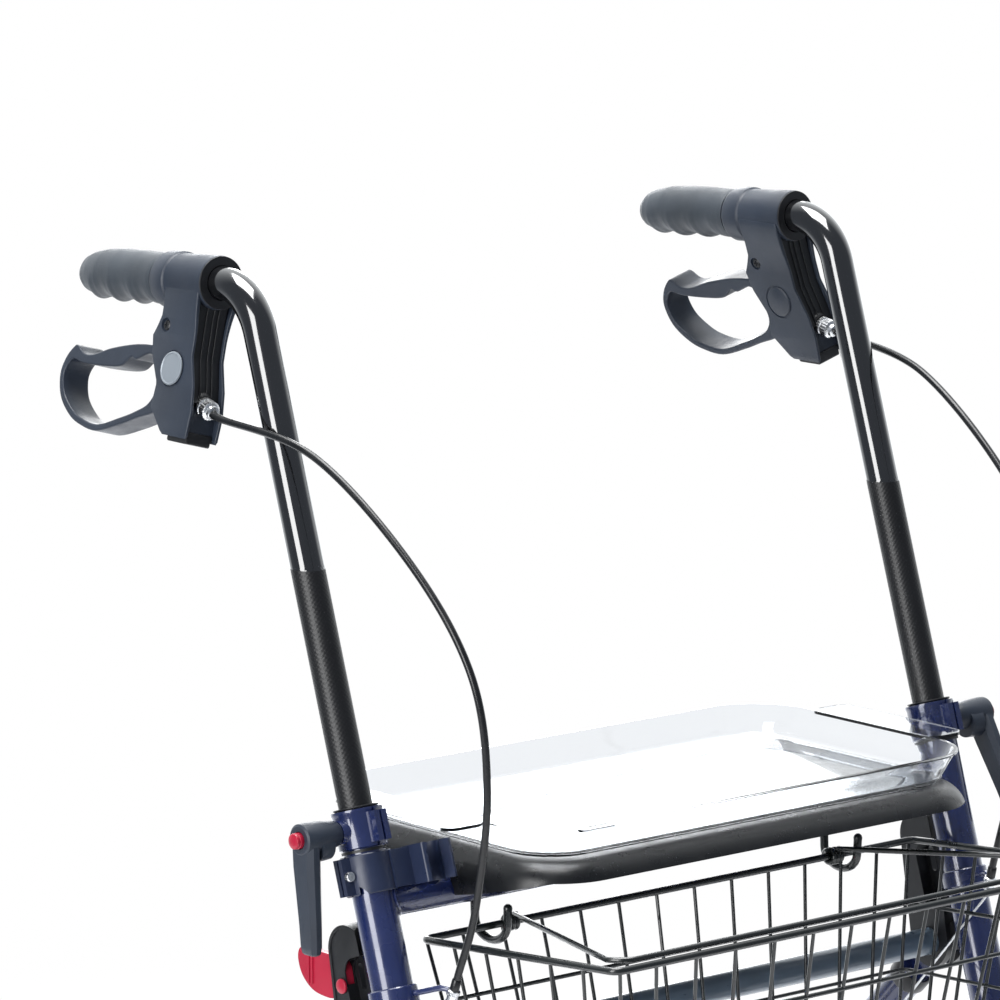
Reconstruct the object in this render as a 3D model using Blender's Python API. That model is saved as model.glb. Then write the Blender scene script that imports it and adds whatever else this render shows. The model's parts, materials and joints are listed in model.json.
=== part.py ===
"""Rollator: a folding four-wheeled walker with loop brakes, seat, tray and wire basket.

Metres, +Z up, the walker faces -Y and its user stands at +Y.  The origin is on the floor
under the middle of its box.  Heights are above the floor.  Distances along Y are given
behind the collars, where the handle tubes enter the front legs, and spot() turns them
into world points.  Every paired piece is made for the +X side and mirrored for the other.
"""
import math

import bmesh
import bpy
from mathutils import Matrix, Vector

# Frame
HALF_TRACK = 0.2546
COLLAR_Y = -0.1075
COLLAR_Z = 0.640
LEG_LEAN = 0.323
LEG_R = 0.0140
LEG_BORE = 0.0117
LEG_FOOT_Z = 0.240
FIT = 0.0003
SIDES = 14

# Fold pivot and rear legs
PIVOT_Y, PIVOT_Z = -0.014, 0.475
PIVOT_R = 0.0095
REAR_AXLE_Y, REAR_AXLE_Z = 0.340, 0.100
REAR_LEG_R = 0.0125
TONGUE_HALF = 0.0042
EYE_R = 0.0145

# Wheels
WHEEL_R = 0.100
WHEEL_HALF = 0.0175
AXLE_R = 0.0040
REAR_WHEEL_X = 0.292
STEM_Y = -0.170
TRAIL = 0.045
BRAKE_REACH = 0.135
SHOE_TURN = math.radians(25)

# Handles
TUBE_R = 0.0111
TUBE_BORE = 0.0095
TUBE_FOOT_Z = 0.440
GRIP_Z, GRIP_DROP = 0.9751, 0.073
BEND_R = 0.040
GRIP_START, GRIP_END = 0.1960, 0.2880
HOUSING_Z = 0.959
HOUSING_TILT = math.radians(16)
TOE_IN = math.radians(2)
PLATE_IN, PLATE_OUT = 0.0112, 0.0135
LEVER_PIVOT = (0.155, 0.055)
LEVER_HALF = 0.0108

# Seat, tray and basket
SEAT_TOP = 0.612
SEAT_HALF = 0.200
SEAT_FRONT, SEAT_BACK = -0.125, 0.115
SEAT_SKIN = 0.003
CROSS_Y, CROSS_Z, CROSS_R = -0.0184, 0.583, 0.0125
TRAY_TOP = 0.634
TRAY_SKIN = 0.002
RIM_HALF = 0.221
RIM_BACK, RIM_FRONT = -0.020, -0.214
RIM_Z, RIM_RISE = 0.555, 0.015
RIM_CORNER = 0.008
BASKET_FLOOR = 0.385
HOOK_X = 0.156
BAIL_X = 0.144
BAIL_R = 0.0021
CABLE_R = 0.0025


def spot(x, y, z):
    """World point at y metres behind the collars."""
    return Vector((x, y + COLLAR_Y, z))


LEG_UP = Vector((0, LEG_LEAN, 1)).normalized()
LEG_BACK = Vector((0, 1, -LEG_LEAN)).normalized()
OUTWARD = Vector((1, 0, 0))
PIVOT = spot(HALF_TRACK, PIVOT_Y, PIVOT_Z)
REAR_AXLE = spot(HALF_TRACK, REAR_AXLE_Y, REAR_AXLE_Z)
REAR_DOWN = (REAR_AXLE - PIVOT).normalized()
REAR_SIDE = OUTWARD.cross(REAR_DOWN)
FRONT_AXLE = spot(HALF_TRACK, STEM_Y + TRAIL, WHEEL_R)
BRAKE_PIVOT = REAR_AXLE - REAR_DOWN * BRAKE_REACH


def leg_point(z):
    """Point of the front leg's axis at height z."""
    return spot(HALF_TRACK, LEG_LEAN * (z - COLLAR_Z), z)


# ---------------------------------------------------------------- materials

COLOURS = {
    "navy_paint": ((0.012, 0.018, 0.110), 0.22, 0.3),
    "black_tube": ((0.006, 0.006, 0.007), 0.18, 0.2),
    "black_plastic": ((0.012, 0.013, 0.016), 0.42, 0.0),
    "grip_rubber": ((0.030, 0.032, 0.036), 0.62, 0.0),
    "seat_plastic": ((0.020, 0.021, 0.024), 0.38, 0.0),
    "clear_plastic": ((0.80, 0.88, 0.88), 0.06, 0.0),
    "red_plastic": ((0.60, 0.010, 0.045), 0.35, 0.0),
    "wire_black": ((0.008, 0.009, 0.010), 0.35, 0.1),
    "steel": ((0.62, 0.62, 0.64), 0.22, 1.0),
    "tyre": ((0.022, 0.022, 0.024), 0.75, 0.0),
    "wheel_plastic": ((0.045, 0.047, 0.052), 0.45, 0.0),
    "cable_sheath": ((0.010, 0.011, 0.013), 0.40, 0.0),
}


def material(name, node):
    """A Principled material of the named kind, owned by one node."""
    colour, roughness, metallic = COLOURS[name]
    made = bpy.data.materials.new(f"{name}.{node}")
    made.use_nodes = True
    shader = made.node_tree.nodes["Principled BSDF"]
    shader.inputs["Base Color"].default_value = (*colour, 1.0)
    shader.inputs["Roughness"].default_value = roughness
    shader.inputs["Metallic"].default_value = metallic
    if name == "clear_plastic":
        shader.inputs["Transmission Weight"].default_value = 1.0
        shader.inputs["IOR"].default_value = 1.49
    made.diffuse_color = (*colour, 1.0)
    return made


# ---------------------------------------------------------------- solids

def loft(rings):
    """Closed solid through rings of equally many points, capped at both ends."""
    bm = bmesh.new()
    loops = [[bm.verts.new(point) for point in ring] for ring in rings]
    for low, high in zip(loops, loops[1:]):
        for i in range(len(low)):
            j = (i + 1) % len(low)
            bm.faces.new((low[i], low[j], high[j], high[i]))
    bm.faces.new(loops[0][::-1])
    bm.faces.new(loops[-1])
    bmesh.ops.recalc_face_normals(bm, faces=bm.faces)
    return bm


def frame_of(axis):
    """Two unit vectors square to an axis and to each other."""
    helper = Vector((0, 0, 1)) if abs(axis.z) < 0.9 else Vector((0, 1, 0))
    side = axis.cross(helper).normalized()
    return side, axis.cross(side).normalized()


def rings_along(path, radius, sides):
    """Round rings along a path, carried without twist."""
    path = [Vector(p) for p in path]
    steps = [(b - a).normalized() for a, b in zip(path, path[1:])]
    heads = [steps[0]] + [(a + b).normalized() for a, b in zip(steps, steps[1:])] + [steps[-1]]
    side, _ = frame_of(heads[0])
    rings = []
    for point, head in zip(path, heads):
        side = (side - head * side.dot(head)).normalized()
        other = head.cross(side)
        turns = [2 * math.pi * (k + 0.5) / sides for k in range(sides)]
        rings.append([point + radius * (math.cos(t) * side + math.sin(t) * other) for t in turns])
    return rings


def rod(path, radius, sides=SIDES):
    """Solid round bar along a path."""
    return loft(rings_along(path, radius, sides))


def pipe(path, radius, bore, sides=SIDES):
    """Open round tube along a path."""
    outer = rings_along(path, radius, sides)
    inner = rings_along(path, bore, sides)
    return ringed(outer + inner[::-1])


def ringed(rings):
    """Closed solid whose rings run round it and meet again."""
    bm = bmesh.new()
    loops = [[bm.verts.new(point) for point in ring] for ring in rings]
    for low, high in zip(loops, loops[1:] + loops[:1]):
        for i in range(len(low)):
            j = (i + 1) % len(low)
            bm.faces.new((low[i], low[j], high[j], high[i]))
    bmesh.ops.recalc_face_normals(bm, faces=bm.faces)
    return bm


def turned(profile, centre, axis, sides=SIDES):
    """Solid of revolution; profile is (along axis, radius) from end to end or all round."""
    side, other = frame_of(axis)
    turns = [2 * math.pi * (k + 0.5) / sides for k in range(sides)]
    rings = [[centre + axis * h + r * (math.cos(t) * side + math.sin(t) * other) for t in turns]
             for h, r in profile]
    return rings


def spindle(profile, centre, axis, sides=SIDES):
    """Solid turned shape, capped flat at both ends."""
    return loft(turned(profile, centre, axis, sides))


def hoop(profile, centre, axis, sides=SIDES):
    """Turned ring with a bore."""
    return ringed(turned(profile, centre, axis, sides))


def prism(outline, origin, across, along, normal, low, high):
    """Outline of (across, along) points pushed from low to high along the normal."""
    base = [origin + across * a + along * b for a, b in outline]
    return loft([[p + normal * low for p in base], [p + normal * high for p in base]])


def block(centre, size, axes=None):
    """Box with its size along world or given axes."""
    u, v, w = axes or (Vector((1, 0, 0)), Vector((0, 1, 0)), Vector((0, 0, 1)))
    a, b, c = (s / 2 for s in size)
    return prism([(-a, -b), (a, -b), (a, b), (-a, b)], Vector(centre), u, v, w, -c, c)


def arc(centre, radius, start, end, count):
    """Points of an arc, angles in degrees."""
    turns = [math.radians(start + (end - start) * k / (count - 1)) for k in range(count)]
    return [(centre[0] + radius * math.cos(t), centre[1] + radius * math.sin(t)) for t in turns]


def rounded_rect(half_x, low_y, high_y, radius, steps=4):
    """Rounded rectangle, symmetric in X, counter-clockwise."""
    corners = [(half_x - radius, high_y - radius, 0), (radius - half_x, high_y - radius, 90),
               (radius - half_x, low_y + radius, 180), (half_x - radius, low_y + radius, 270)]
    points = []
    for x, y, turn in corners:
        points += arc((x, y), radius, turn, turn + 90, steps)
    return points


def combine(base, joined=(), cut=()):
    """Boolean result: the joined solids are added to the base, then the cut ones removed."""
    def shown(bm, label):
        mesh = bpy.data.meshes.new(label)
        bm.to_mesh(mesh)
        bm.free()
        made = bpy.data.objects.new(label, mesh)
        bpy.context.collection.objects.link(made)
        return made

    body = shown(base, "base")
    tools = []
    for operation, solids in (("UNION", joined), ("DIFFERENCE", cut)):
        for solid in solids:
            tool = shown(solid, "tool")
            modifier = body.modifiers.new(operation.lower(), "BOOLEAN")
            modifier.operation = operation
            modifier.solver = "EXACT"
            modifier.object = tool
            tools.append(tool)
    mesh = bpy.data.meshes.new_from_object(body.evaluated_get(bpy.context.evaluated_depsgraph_get()))
    result = bmesh.new()
    result.from_mesh(mesh)
    for temporary in [body, *tools]:
        bpy.data.objects.remove(temporary)
    bpy.data.meshes.remove(mesh)
    bmesh.ops.remove_doubles(result, verts=result.verts, dist=0.000002)
    return result


# ---------------------------------------------------------------- scene objects

SIDE_NAMES = {1: "left", -1: "right"}


def mirrored(point, side):
    """Point or vector of the +X side carried to the given side."""
    return Vector((point[0] * side, point[1], point[2]))


def place(name, bm, kind, origin=(0, 0, 0), side=1):
    """Adds a solid to the scene as one named node with its origin on its joint axis."""
    origin = mirrored(origin, side)
    if side < 0:
        bmesh.ops.scale(bm, vec=(-1, 1, 1), verts=bm.verts)
        bmesh.ops.reverse_faces(bm, faces=bm.faces)
    bmesh.ops.translate(bm, vec=-origin, verts=bm.verts)
    mesh = bpy.data.meshes.new(name)
    bm.to_mesh(mesh)
    bm.free()
    mesh.shade_smooth()
    mesh.set_sharp_from_angle(angle=math.radians(35))
    made = bpy.data.objects.new(name, mesh)
    made.location = origin
    mesh.materials.append(material(kind, name))
    bpy.context.collection.objects.link(made)
    return made


def place_pair(name, build, kind, origin=(0, 0, 0)):
    """Adds the left and right copies of a paired piece."""
    for side, word in SIDE_NAMES.items():
        place(f"{word}_{name}", build(), kind, origin, side)


# ---------------------------------------------------------------- front frame

def front_leg():
    return pipe([leg_point(LEG_FOOT_Z), leg_point(COLLAR_Z - 0.0005)], LEG_R, LEG_BORE)


def seat_cross_tube():
    """Tube between the legs under the seat, its ends cut to sit on them."""
    ends = [spot(side * HALF_TRACK, CROSS_Y, CROSS_Z) for side in (-1, 1)]
    legs = []
    for side in (-1, 1):
        run = [mirrored(leg_point(z), side) for z in (0.53, 0.63)]
        legs.append(rod(run, LEG_R + 2 * FIT, 24))
    return combine(pipe(ends, CROSS_R, CROSS_R - 0.0016), cut=legs)


CLAMP_Z = 0.6275
CLAMP_SWING = {"left": math.radians(28), "right": 0.0}


def collar():
    """Clamp ring round the leg's top, split in front, with the boss of the clamp screw."""
    base = leg_point(CLAMP_Z)
    ring = spindle([(-0.0125, 0.0152), (-0.0115, 0.0166), (0.0115, 0.0166), (0.0128, 0.0152)],
                   base, LEG_UP, 20)
    ears = block(base - LEG_BACK * 0.0190, (0.0090, 0.0100, 0.0180), (OUTWARD, LEG_BACK, LEG_UP))
    boss = spindle([(0.012, 0.0085), (0.0195, 0.0078)], base, OUTWARD, 12)
    bore = spindle([(-0.05, 0.0146), (0.05, 0.0146)], base, LEG_UP, 20)
    slit = block(base - LEG_BACK * 0.0200, (0.0018, 0.0240, 0.0400), (OUTWARD, LEG_BACK, LEG_UP))
    return combine(ring, joined=(ears, boss), cut=(bore, slit))


def clamp_lever(swing):
    """Ratchet lever: a tapered hub on the clamp screw and a flat arm, swung forward from hanging."""
    hub_at = leg_point(CLAMP_Z)
    hub = spindle([(0.0200, 0.0070), (0.0225, 0.0082), (0.0290, 0.0098), (0.0450, 0.0104),
                   (0.0500, 0.0090)], hub_at, OUTWARD, 14)
    arm_outline = (arc((0, 0), 0.0104, 0, 180, 7) + arc((-0.004, -0.067), 0.0080, 180, 360, 7))
    turn = Matrix.Rotation(-swing, 4, OUTWARD)
    arm = prism(arm_outline, hub_at, turn @ Vector((0, 1, 0)), turn @ Vector((0, 0, 1)), OUTWARD,
                0.0395, 0.0495)
    socket = spindle([(0.0425, 0.0058), (0.0600, 0.0058)], hub_at, OUTWARD, 12)
    return combine(hub, joined=(arm,), cut=(socket,))


def clamp_button():
    """Release button in the outer end of the clamp lever."""
    return spindle([(0.0455, 0.0050), (0.0530, 0.0054), (0.0555, 0.0046)],
                   leg_point(CLAMP_Z), OUTWARD, 12)


HOUSING_BACK = 0.0374
HOUSING_R = 0.018
HOUSING_HALF = 0.0105
HOUSING_LENGTH = 0.0725
HOUSING_LEAN = 0.0105
BAND_CLEARANCE = 0.0172
CATCH_RISE = 0.052


def lock_housing(has_catch):
    """Fold joint case behind the leg: round ended, slotted for the rear leg's tongue."""
    axes = (LEG_BACK, LEG_UP, OUTWARD)
    shell = (arc((0, 0), HOUSING_R, 180, 360, 9)
             + arc((-HOUSING_LEAN, HOUSING_LENGTH), HOUSING_R, 0, 180, 9))
    band_room = rod([leg_point(0.44), leg_point(0.60)], BAND_CLEARANCE, 24)
    case = combine(prism(shell, PIVOT, *axes, -HOUSING_HALF, HOUSING_HALF), cut=(band_room,))
    front = LEG_R - HOUSING_BACK + FIT
    lugs = [prism([(front, h - 0.006), (-0.016, h - 0.006), (-0.016, h + 0.006), (front, h + 0.006)],
                  PIVOT, *axes, -0.006, 0.006) for h in (0.004, 0.0625)]
    leg = rod([leg_point(0.44), leg_point(0.60)], LEG_R + 2 * FIT, 24)
    slot = prism([(-EYE_R - 0.0007, -0.05), (0.05, -0.05), (0.05, EYE_R + 0.001),
                  (-EYE_R - 0.0007, EYE_R + 0.001)], PIVOT, *axes, -TONGUE_HALF - FIT, TONGUE_HALF + FIT)
    bore = spindle([(-0.05, PIVOT_R + 0.0004), (0.05, PIVOT_R + 0.0004)], PIVOT, OUTWARD, SIDES)
    removed = [leg, slot, bore]
    if has_catch:
        pin_at = PIVOT + LEG_UP * CATCH_RISE
        removed.append(spindle([(0.004, 0.0034), (0.05, 0.0034)], pin_at, OUTWARD, 10))
    return combine(case, joined=lugs, cut=removed)


def fold_catch():
    """Red catch on the outer face of the fold joint case, on its own pin."""
    at = PIVOT + LEG_UP * CATCH_RISE
    back, up = Vector((0, 1, 0)), Vector((0, 0, 1))
    outline = arc((0, 0), 0.0075, 150, 260, 5) + [(0.016, -0.0115), (0.030, -0.0095), (0.040, -0.0020),
                                                  (0.0445, 0.0080), (0.0440, 0.0160), (0.020, 0.0185),
                                                  (0.002, 0.0180)]
    low = HOUSING_HALF + FIT
    plate = prism(outline, at, back, up, OUTWARD, low, low + 0.006)
    pin = spindle([(0.0045, 0.0030), (low + 0.001, 0.0030)], at, OUTWARD, 10)
    return combine(plate, joined=(pin,))


STEM = spot(HALF_TRACK, STEM_Y, 0.0)


def caster_head():
    """Moulded head that holds the leg's foot and the caster's stem."""
    up = Vector((0, 0, 1))
    barrel = spindle([(0.2240, 0.0155), (0.2260, 0.0170), (0.2860, 0.0170), (0.2905, 0.0140)],
                     STEM, up, 16)
    foot = leg_point(LEG_FOOT_Z)
    socket = spindle([(-0.0050, 0.0160), (-0.0030, 0.0185), (0.0480, 0.0185), (0.0500, 0.0170)],
                     foot, LEG_UP, 16)
    web = block(spot(HALF_TRACK, -0.150, 0.2590), (0.014, 0.034, 0.052))
    bore = spindle([(0.2, 0.0086), (0.2870, 0.0086)], STEM, up, 14)
    hole = spindle([(-0.0004, 0.0146), (0.08, 0.0146)], foot, LEG_UP, 16)
    return combine(barrel, joined=(socket, web), cut=(bore, hole))


STOP_ALONG = 0.5233
STOP_REACH = 0.0472
STOP_TURN = math.atan2(0.0444, 0.0161)
CABLE_DOWN = Vector((0.060, 0.298, -0.953)).normalized()


def stop_axes():
    """Direction in which the cable stop's arm leaves the leg, and the one across it."""
    out = -OUTWARD * math.cos(STOP_TURN) - LEG_BACK * math.sin(STOP_TURN)
    return out, LEG_UP.cross(out)


STOP_CUP = leg_point(STOP_ALONG) + stop_axes()[0] * STOP_REACH


def cable_stop():
    """Band round the leg with an arm and the cup that ends the brake cable's sheath."""
    at = leg_point(STOP_ALONG)
    out, across = stop_axes()
    band = spindle([(-0.006, 0.0166), (0.006, 0.0166)], at, LEG_UP, 20)
    arm = block(at + out * 0.0300, (0.0320, 0.0036, 0.0100), (out, across, LEG_UP))
    cup = spindle([(-0.008, 0.0042), (0.007, 0.0042), (0.008, 0.0030)], STOP_CUP, CABLE_DOWN, 12)
    bore = spindle([(-0.05, LEG_R + 2 * FIT), (0.05, LEG_R + 2 * FIT)], at, LEG_UP, 20)
    return combine(band, joined=(arm, cup), cut=(bore,))


CLIP_ALONG = 0.600
CLIP_SPOT = (0.2205, -0.0330)


def clip_bracket():
    """Accessory clip: a collar with an outer ear, a solid arm and an open C that grips a rod."""
    at = leg_point(CLIP_ALONG)
    axes = (OUTWARD, LEG_BACK, LEG_UP)
    ring = spindle([(-0.0130, 0.0168), (0.0130, 0.0168)], at, LEG_UP, 20)
    ear = block(at + OUTWARD * 0.0185, (0.0100, 0.0083, 0.0240), axes)
    arm = block(at - OUTWARD * 0.0195 - LEG_BACK * 0.0080, (0.0220, 0.0193, 0.0245), axes)
    x, y = CLIP_SPOT
    middle = leg_point(CLIP_ALONG) + OUTWARD * (x - HALF_TRACK) + LEG_BACK * (y - leg_point(CLIP_ALONG).y
                                                                              + COLLAR_Y)
    cee = spindle([(-0.0127, 0.0118), (0.0127, 0.0118)], middle, LEG_UP, 18)
    bore = spindle([(-0.05, LEG_R + 2 * FIT), (0.05, LEG_R + 2 * FIT)], at, LEG_UP, 20)
    throat = spindle([(-0.05, 0.0088), (0.05, 0.0088)], middle, LEG_UP, 14)
    mouth = block(middle - LEG_BACK * 0.0120, (0.0119, 0.0200, 0.0600), axes)
    split = block(at + OUTWARD * 0.020, (0.018, 0.0016, 0.06), axes)
    tube = rod([spot(0.15, CROSS_Y, CROSS_Z), spot(0.27, CROSS_Y, CROSS_Z)], CROSS_R + 2 * FIT, 20)
    return combine(ring, joined=(ear, arm, cee), cut=(bore, throat, mouth, split, tube))


# ---------------------------------------------------------------- seat, tray, basket

def at_height(points, z):
    return [spot(x, y, z) for x, y in points]


def slab(half_x, low_y, high_y, radius, bottom, top, fillet, draft=0.0):
    """Rounded slab whose upper edge is rolled over with a fillet."""
    rings = [at_height(rounded_rect(half_x - draft, low_y + draft, high_y - draft, radius), bottom)]
    for k in range(4):
        turn = math.radians(30 * k)
        inset = fillet * (1 - math.cos(turn))
        rings.append(at_height(rounded_rect(half_x - inset, low_y + inset, high_y - inset,
                                            radius - inset), top - fillet * (1 - math.sin(turn))))
    return loft(rings)


SKIRT_Z = 0.5765
SKIRT_END_Z = 0.5995


def seat():
    """Moulded seat: a rolled-edge top, side skirts deepest in their middle, saddles for the tube."""
    shell = slab(SEAT_HALF, SEAT_FRONT, SEAT_BACK, 0.050, SKIRT_Z, SEAT_TOP, 0.010)
    skin = SEAT_SKIN
    hollow = slab(SEAT_HALF - skin, SEAT_FRONT + skin, SEAT_BACK - skin, 0.048,
                  SKIRT_Z - 0.01, SEAT_TOP - skin, 0.008)
    cuts = [hollow]
    middle = spot(0, (SEAT_FRONT + SEAT_BACK) / 2, 0)
    for way in (-1, 1):
        outline = [(way * 0.006, SKIRT_Z - 0.02), (way * 0.006, SKIRT_Z), (way * 0.050, 0.5885),
                   (way * 0.105, SKIRT_END_Z), (way * 0.150, SKIRT_END_Z), (way * 0.150, SKIRT_Z - 0.02)]
        cuts.append(prism(outline, middle, Vector((0, 1, 0)), Vector((0, 0, 1)), OUTWARD, -0.25, 0.25))
    body = combine(shell, cut=cuts)
    saddles = [block(spot(x, CROSS_Y + 0.004, 0.5970), (0.016, 0.056, 0.0250)) for x in (-0.11, 0.11)]
    tube = rod([spot(-0.26, CROSS_Y, CROSS_Z), spot(0.26, CROSS_Y, CROSS_Z)], CROSS_R + 2 * FIT, 20)
    notches = [block(spot(x, CROSS_Y, CROSS_Z - 0.02), (0.02, 2 * CROSS_R + 4 * FIT, 0.04))
               for x in (-SEAT_HALF, SEAT_HALF)]
    return combine(body, joined=saddles, cut=(tube, *notches))


def tray():
    """Clear tray: a shallow tapered tub with a carrying flange at each short end."""
    def tub(grow, bottom, top):
        low = rounded_rect(0.187 + grow, -0.106 - grow, 0.102 + grow, 0.038)
        high = rounded_rect(0.197 + grow, -0.113 - grow, 0.109 + grow, 0.045)
        return loft([at_height(low, bottom), at_height(high, top)])

    outer = tub(0.0, SEAT_TOP + 0.0004, TRAY_TOP)
    flange_z = TRAY_TOP - 0.0016
    rim = [block(spot(side * 0.2100, -0.002, flange_z), (0.0400, 0.1200, 0.0024))
           for side in (-1, 1)]
    tab = block(spot(-0.1500, -0.1130, flange_z), (0.0300, 0.0123, 0.0022))
    inner = tub(-TRAY_SKIN, SEAT_TOP + 0.0004 + TRAY_SKIN, TRAY_TOP + 0.0010)
    return combine(outer, joined=(*rim, tab), cut=(inner,))


def rim_height(y):
    """The basket's rim rises from its back to its front."""
    return RIM_Z + RIM_RISE * (RIM_BACK - y) / (RIM_BACK - RIM_FRONT)


HOOK_Y = (-0.034, 0.002)
HOOK_Z = (0.5425, 0.5487)


def basket():
    """Basket as one thin open tub with a window behind each hook."""
    def level(inset, share, floor):
        half = RIM_HALF + (0.186 - RIM_HALF) * share - inset
        low_y = RIM_FRONT + 0.034 * share + inset
        high_y = RIM_BACK - 0.025 * share - inset
        points = rounded_rect(half, low_y, high_y, RIM_CORNER + 0.012 * share)
        return [spot(x, y, floor if share else rim_height(y)) for x, y in points]

    wall = 0.0026
    rings = [level(0, 1, BASKET_FLOOR), level(0, 0, 0), level(wall, 0, 0),
             level(wall, 0.985, BASKET_FLOOR + wall)]
    windows = [block(spot(side * HOOK_X, RIM_BACK, 0.5415), (0.011, 0.03, 0.0150)) for side in (-1, 1)]
    return combine(loft(rings), cut=windows)


def basket_hook():
    """J-shaped hook under the seat whose finger carries the basket's back rim."""
    front, back = HOOK_Y
    low, high = HOOK_Z
    top = SEAT_TOP - SEAT_SKIN - FIT
    outline = [(back, top), (back - 0.005, top), (back - 0.005, high), (front + 0.003, high),
               (front + 0.003, high + 0.002), (front, high + 0.002), (front, low), (back, low)]
    return prism(outline, spot(HOOK_X, 0, 0), Vector((0, 1, 0)), Vector((0, 0, 1)), OUTWARD,
                 -0.003, 0.003)


def bail_height(y):
    return rim_height(y) + BAIL_R + 0.0005


def basket_handle():
    """Wire carrying handle lying on the basket's rim."""
    back_y, front_y = RIM_BACK - 0.0035, RIM_FRONT + 0.0050
    corner = 0.214
    run = [(BAIL_X, back_y), (corner - 0.003, front_y + 0.014), (corner - 0.006, front_y + 0.004),
           (corner - 0.014, front_y)]
    run += [(-x, y) for x, y in reversed(run)]
    return rod([spot(x, y, bail_height(y)) for x, y in run], BAIL_R, 8)


# ---------------------------------------------------------------- handles

def grip_height(y):
    """Height of the handle tube's axis where it runs back as the grip."""
    return GRIP_Z - GRIP_DROP * y


def toed(point):
    """Point turned with the whole handle about the leg's axis, so the grips toe in."""
    anchor = leg_point(COLLAR_Z)
    turn = Matrix.Rotation(TOE_IN, 4, LEG_UP)
    return anchor + turn @ (Vector(point) - anchor)


GRIP_DIR = (Matrix.Rotation(TOE_IN, 4, LEG_UP) @ Vector((0, 1, -GRIP_DROP))).normalized()
TILT_DOWN = Matrix.Rotation(TOE_IN, 4, LEG_UP) @ Vector((math.sin(HOUSING_TILT), 0,
                                                         -math.cos(HOUSING_TILT)))
TILT_OUT = Matrix.Rotation(TOE_IN, 4, LEG_UP) @ Vector((math.cos(HOUSING_TILT), 0,
                                                        math.sin(HOUSING_TILT)))
TILT_BACK = Matrix.Rotation(TOE_IN, 4, LEG_UP) @ Vector((0, 1, 0))
HOUSING_ORIGIN = toed(spot(HALF_TRACK, 0, HOUSING_Z))


def housing_point(back, down, out=0.0):
    """Point in the brake housing's own frame."""
    return HOUSING_ORIGIN + TILT_BACK * back + TILT_DOWN * down + TILT_OUT * out


def grip_point(y):
    return toed(spot(HALF_TRACK, y, grip_height(y)))


def housing_prism(outline, low, high):
    return prism(outline, HOUSING_ORIGIN, TILT_BACK, TILT_DOWN, TILT_OUT, low, high)


def handle_tube():
    """Tube from inside the leg up to the bend and back through the grip."""
    corner_z = (GRIP_Z + GRIP_DROP * LEG_LEAN * COLLAR_Z) / (1 + GRIP_DROP * LEG_LEAN)
    corner = leg_point(corner_z)
    rear = Vector((0, 1, -GRIP_DROP)).normalized()
    half = math.acos(LEG_UP.dot(rear)) / 2
    setback = BEND_R * math.tan(half)
    middle = corner + (rear - LEG_UP).normalized() * BEND_R / math.cos(half)
    steps = 6
    start = corner - LEG_UP * setback - middle
    bend = [middle + Matrix.Rotation(-2 * half * k / steps, 4, OUTWARD) @ start
            for k in range(steps + 1)]
    end = spot(HALF_TRACK, GRIP_END - 0.006, grip_height(GRIP_END - 0.006))
    path = [toed(p) for p in [leg_point(TUBE_FOOT_Z), *bend, end]]
    return pipe(path, TUBE_R, TUBE_BORE)


PLATE_OUTLINE = [(0.1395, -0.006), (0.1395, 0.017), (0.1370, 0.045), (0.1270, 0.064), (0.1250, 0.080),
                 (0.1250, 0.096), (0.1520, 0.098), (0.1700, 0.085), (0.1685, 0.070), (0.1800, 0.049),
                 (0.1840, 0.036), (0.1820, 0.030), (0.1755, 0.016), (0.1765, -0.004)]


def brake_housing():
    """Brake lever housing: a sleeve on the tube over two side plates tied by two webs."""
    along = GRIP_DIR
    sleeve_at = grip_point(0.158)
    sleeve = spindle([(-0.0200, 0.0170), (-0.0190, 0.0178), (0.0200, 0.0178), (0.0210, 0.0192),
                      (0.0360, 0.0192), (0.0372, 0.0180)], sleeve_at, along, 20)
    plates = [housing_prism(PLATE_OUTLINE, low, low + PLATE_OUT - PLATE_IN)
              for low in (-PLATE_OUT, PLATE_IN)]
    upper_web = housing_prism([(0.143, 0.004), (0.175, 0.004), (0.176, 0.029), (0.143, 0.029)],
                              -PLATE_IN - 0.0005, PLATE_IN + 0.0005)
    lower_web = housing_prism([(0.132, 0.066), (0.145, 0.066), (0.146, 0.0955), (0.132, 0.0955)],
                              -PLATE_IN - 0.0005, PLATE_IN + 0.0005)
    bore = spindle([(-0.06, TUBE_R + 0.0005), (0.06, TUBE_R + 0.0005)], sleeve_at, along, 20)
    pin = spindle([(-0.03, 0.0034), (0.03, 0.0034)], housing_point(*LEVER_PIVOT), TILT_OUT, 10)
    thread = spindle([(-0.001, 0.0034), (0.0102, 0.0034)], ADJUSTER_SEAT, -ADJUSTER_DIR, 10)
    return combine(sleeve, joined=(*plates, upper_web, lower_web), cut=(bore, pin, thread))


ADJUSTER_DIR = (-TILT_BACK * math.cos(math.radians(15)) + TILT_DOWN * math.sin(math.radians(15)))
ADJUSTER_SEAT = housing_point(0.132, 0.0745)
ADJUSTER_LENGTH = 0.0140


def adjuster():
    """Barrel adjuster: a threaded stem in the housing, a thumb nut and a collar."""
    return spindle([(-0.0090, 0.0028), (0.0016, 0.0028), (0.0017, 0.0060), (0.0070, 0.0064),
                    (0.0071, 0.0052), (ADJUSTER_LENGTH, 0.0048)], ADJUSTER_SEAT, ADJUSTER_DIR, 12)


def grip():
    """Rubber grip: a blind sleeve with a crowned palm and a rounded end."""
    start, length = grip_point(GRIP_START), GRIP_END - GRIP_START
    outer = [(0.0, 0.0160), (0.002, 0.0172), (0.020, 0.0180), (0.045, 0.0186), (0.068, 0.0176),
             (0.082, 0.0150), (0.089, 0.0105), (length, 0.0040)]
    inner = [(-0.01, TUBE_R + 0.0004), (length - 0.0055, TUBE_R + 0.0004)]
    return combine(spindle(outer, start, GRIP_DIR, 16), cut=(spindle(inner, start, GRIP_DIR, 16),))


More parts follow.
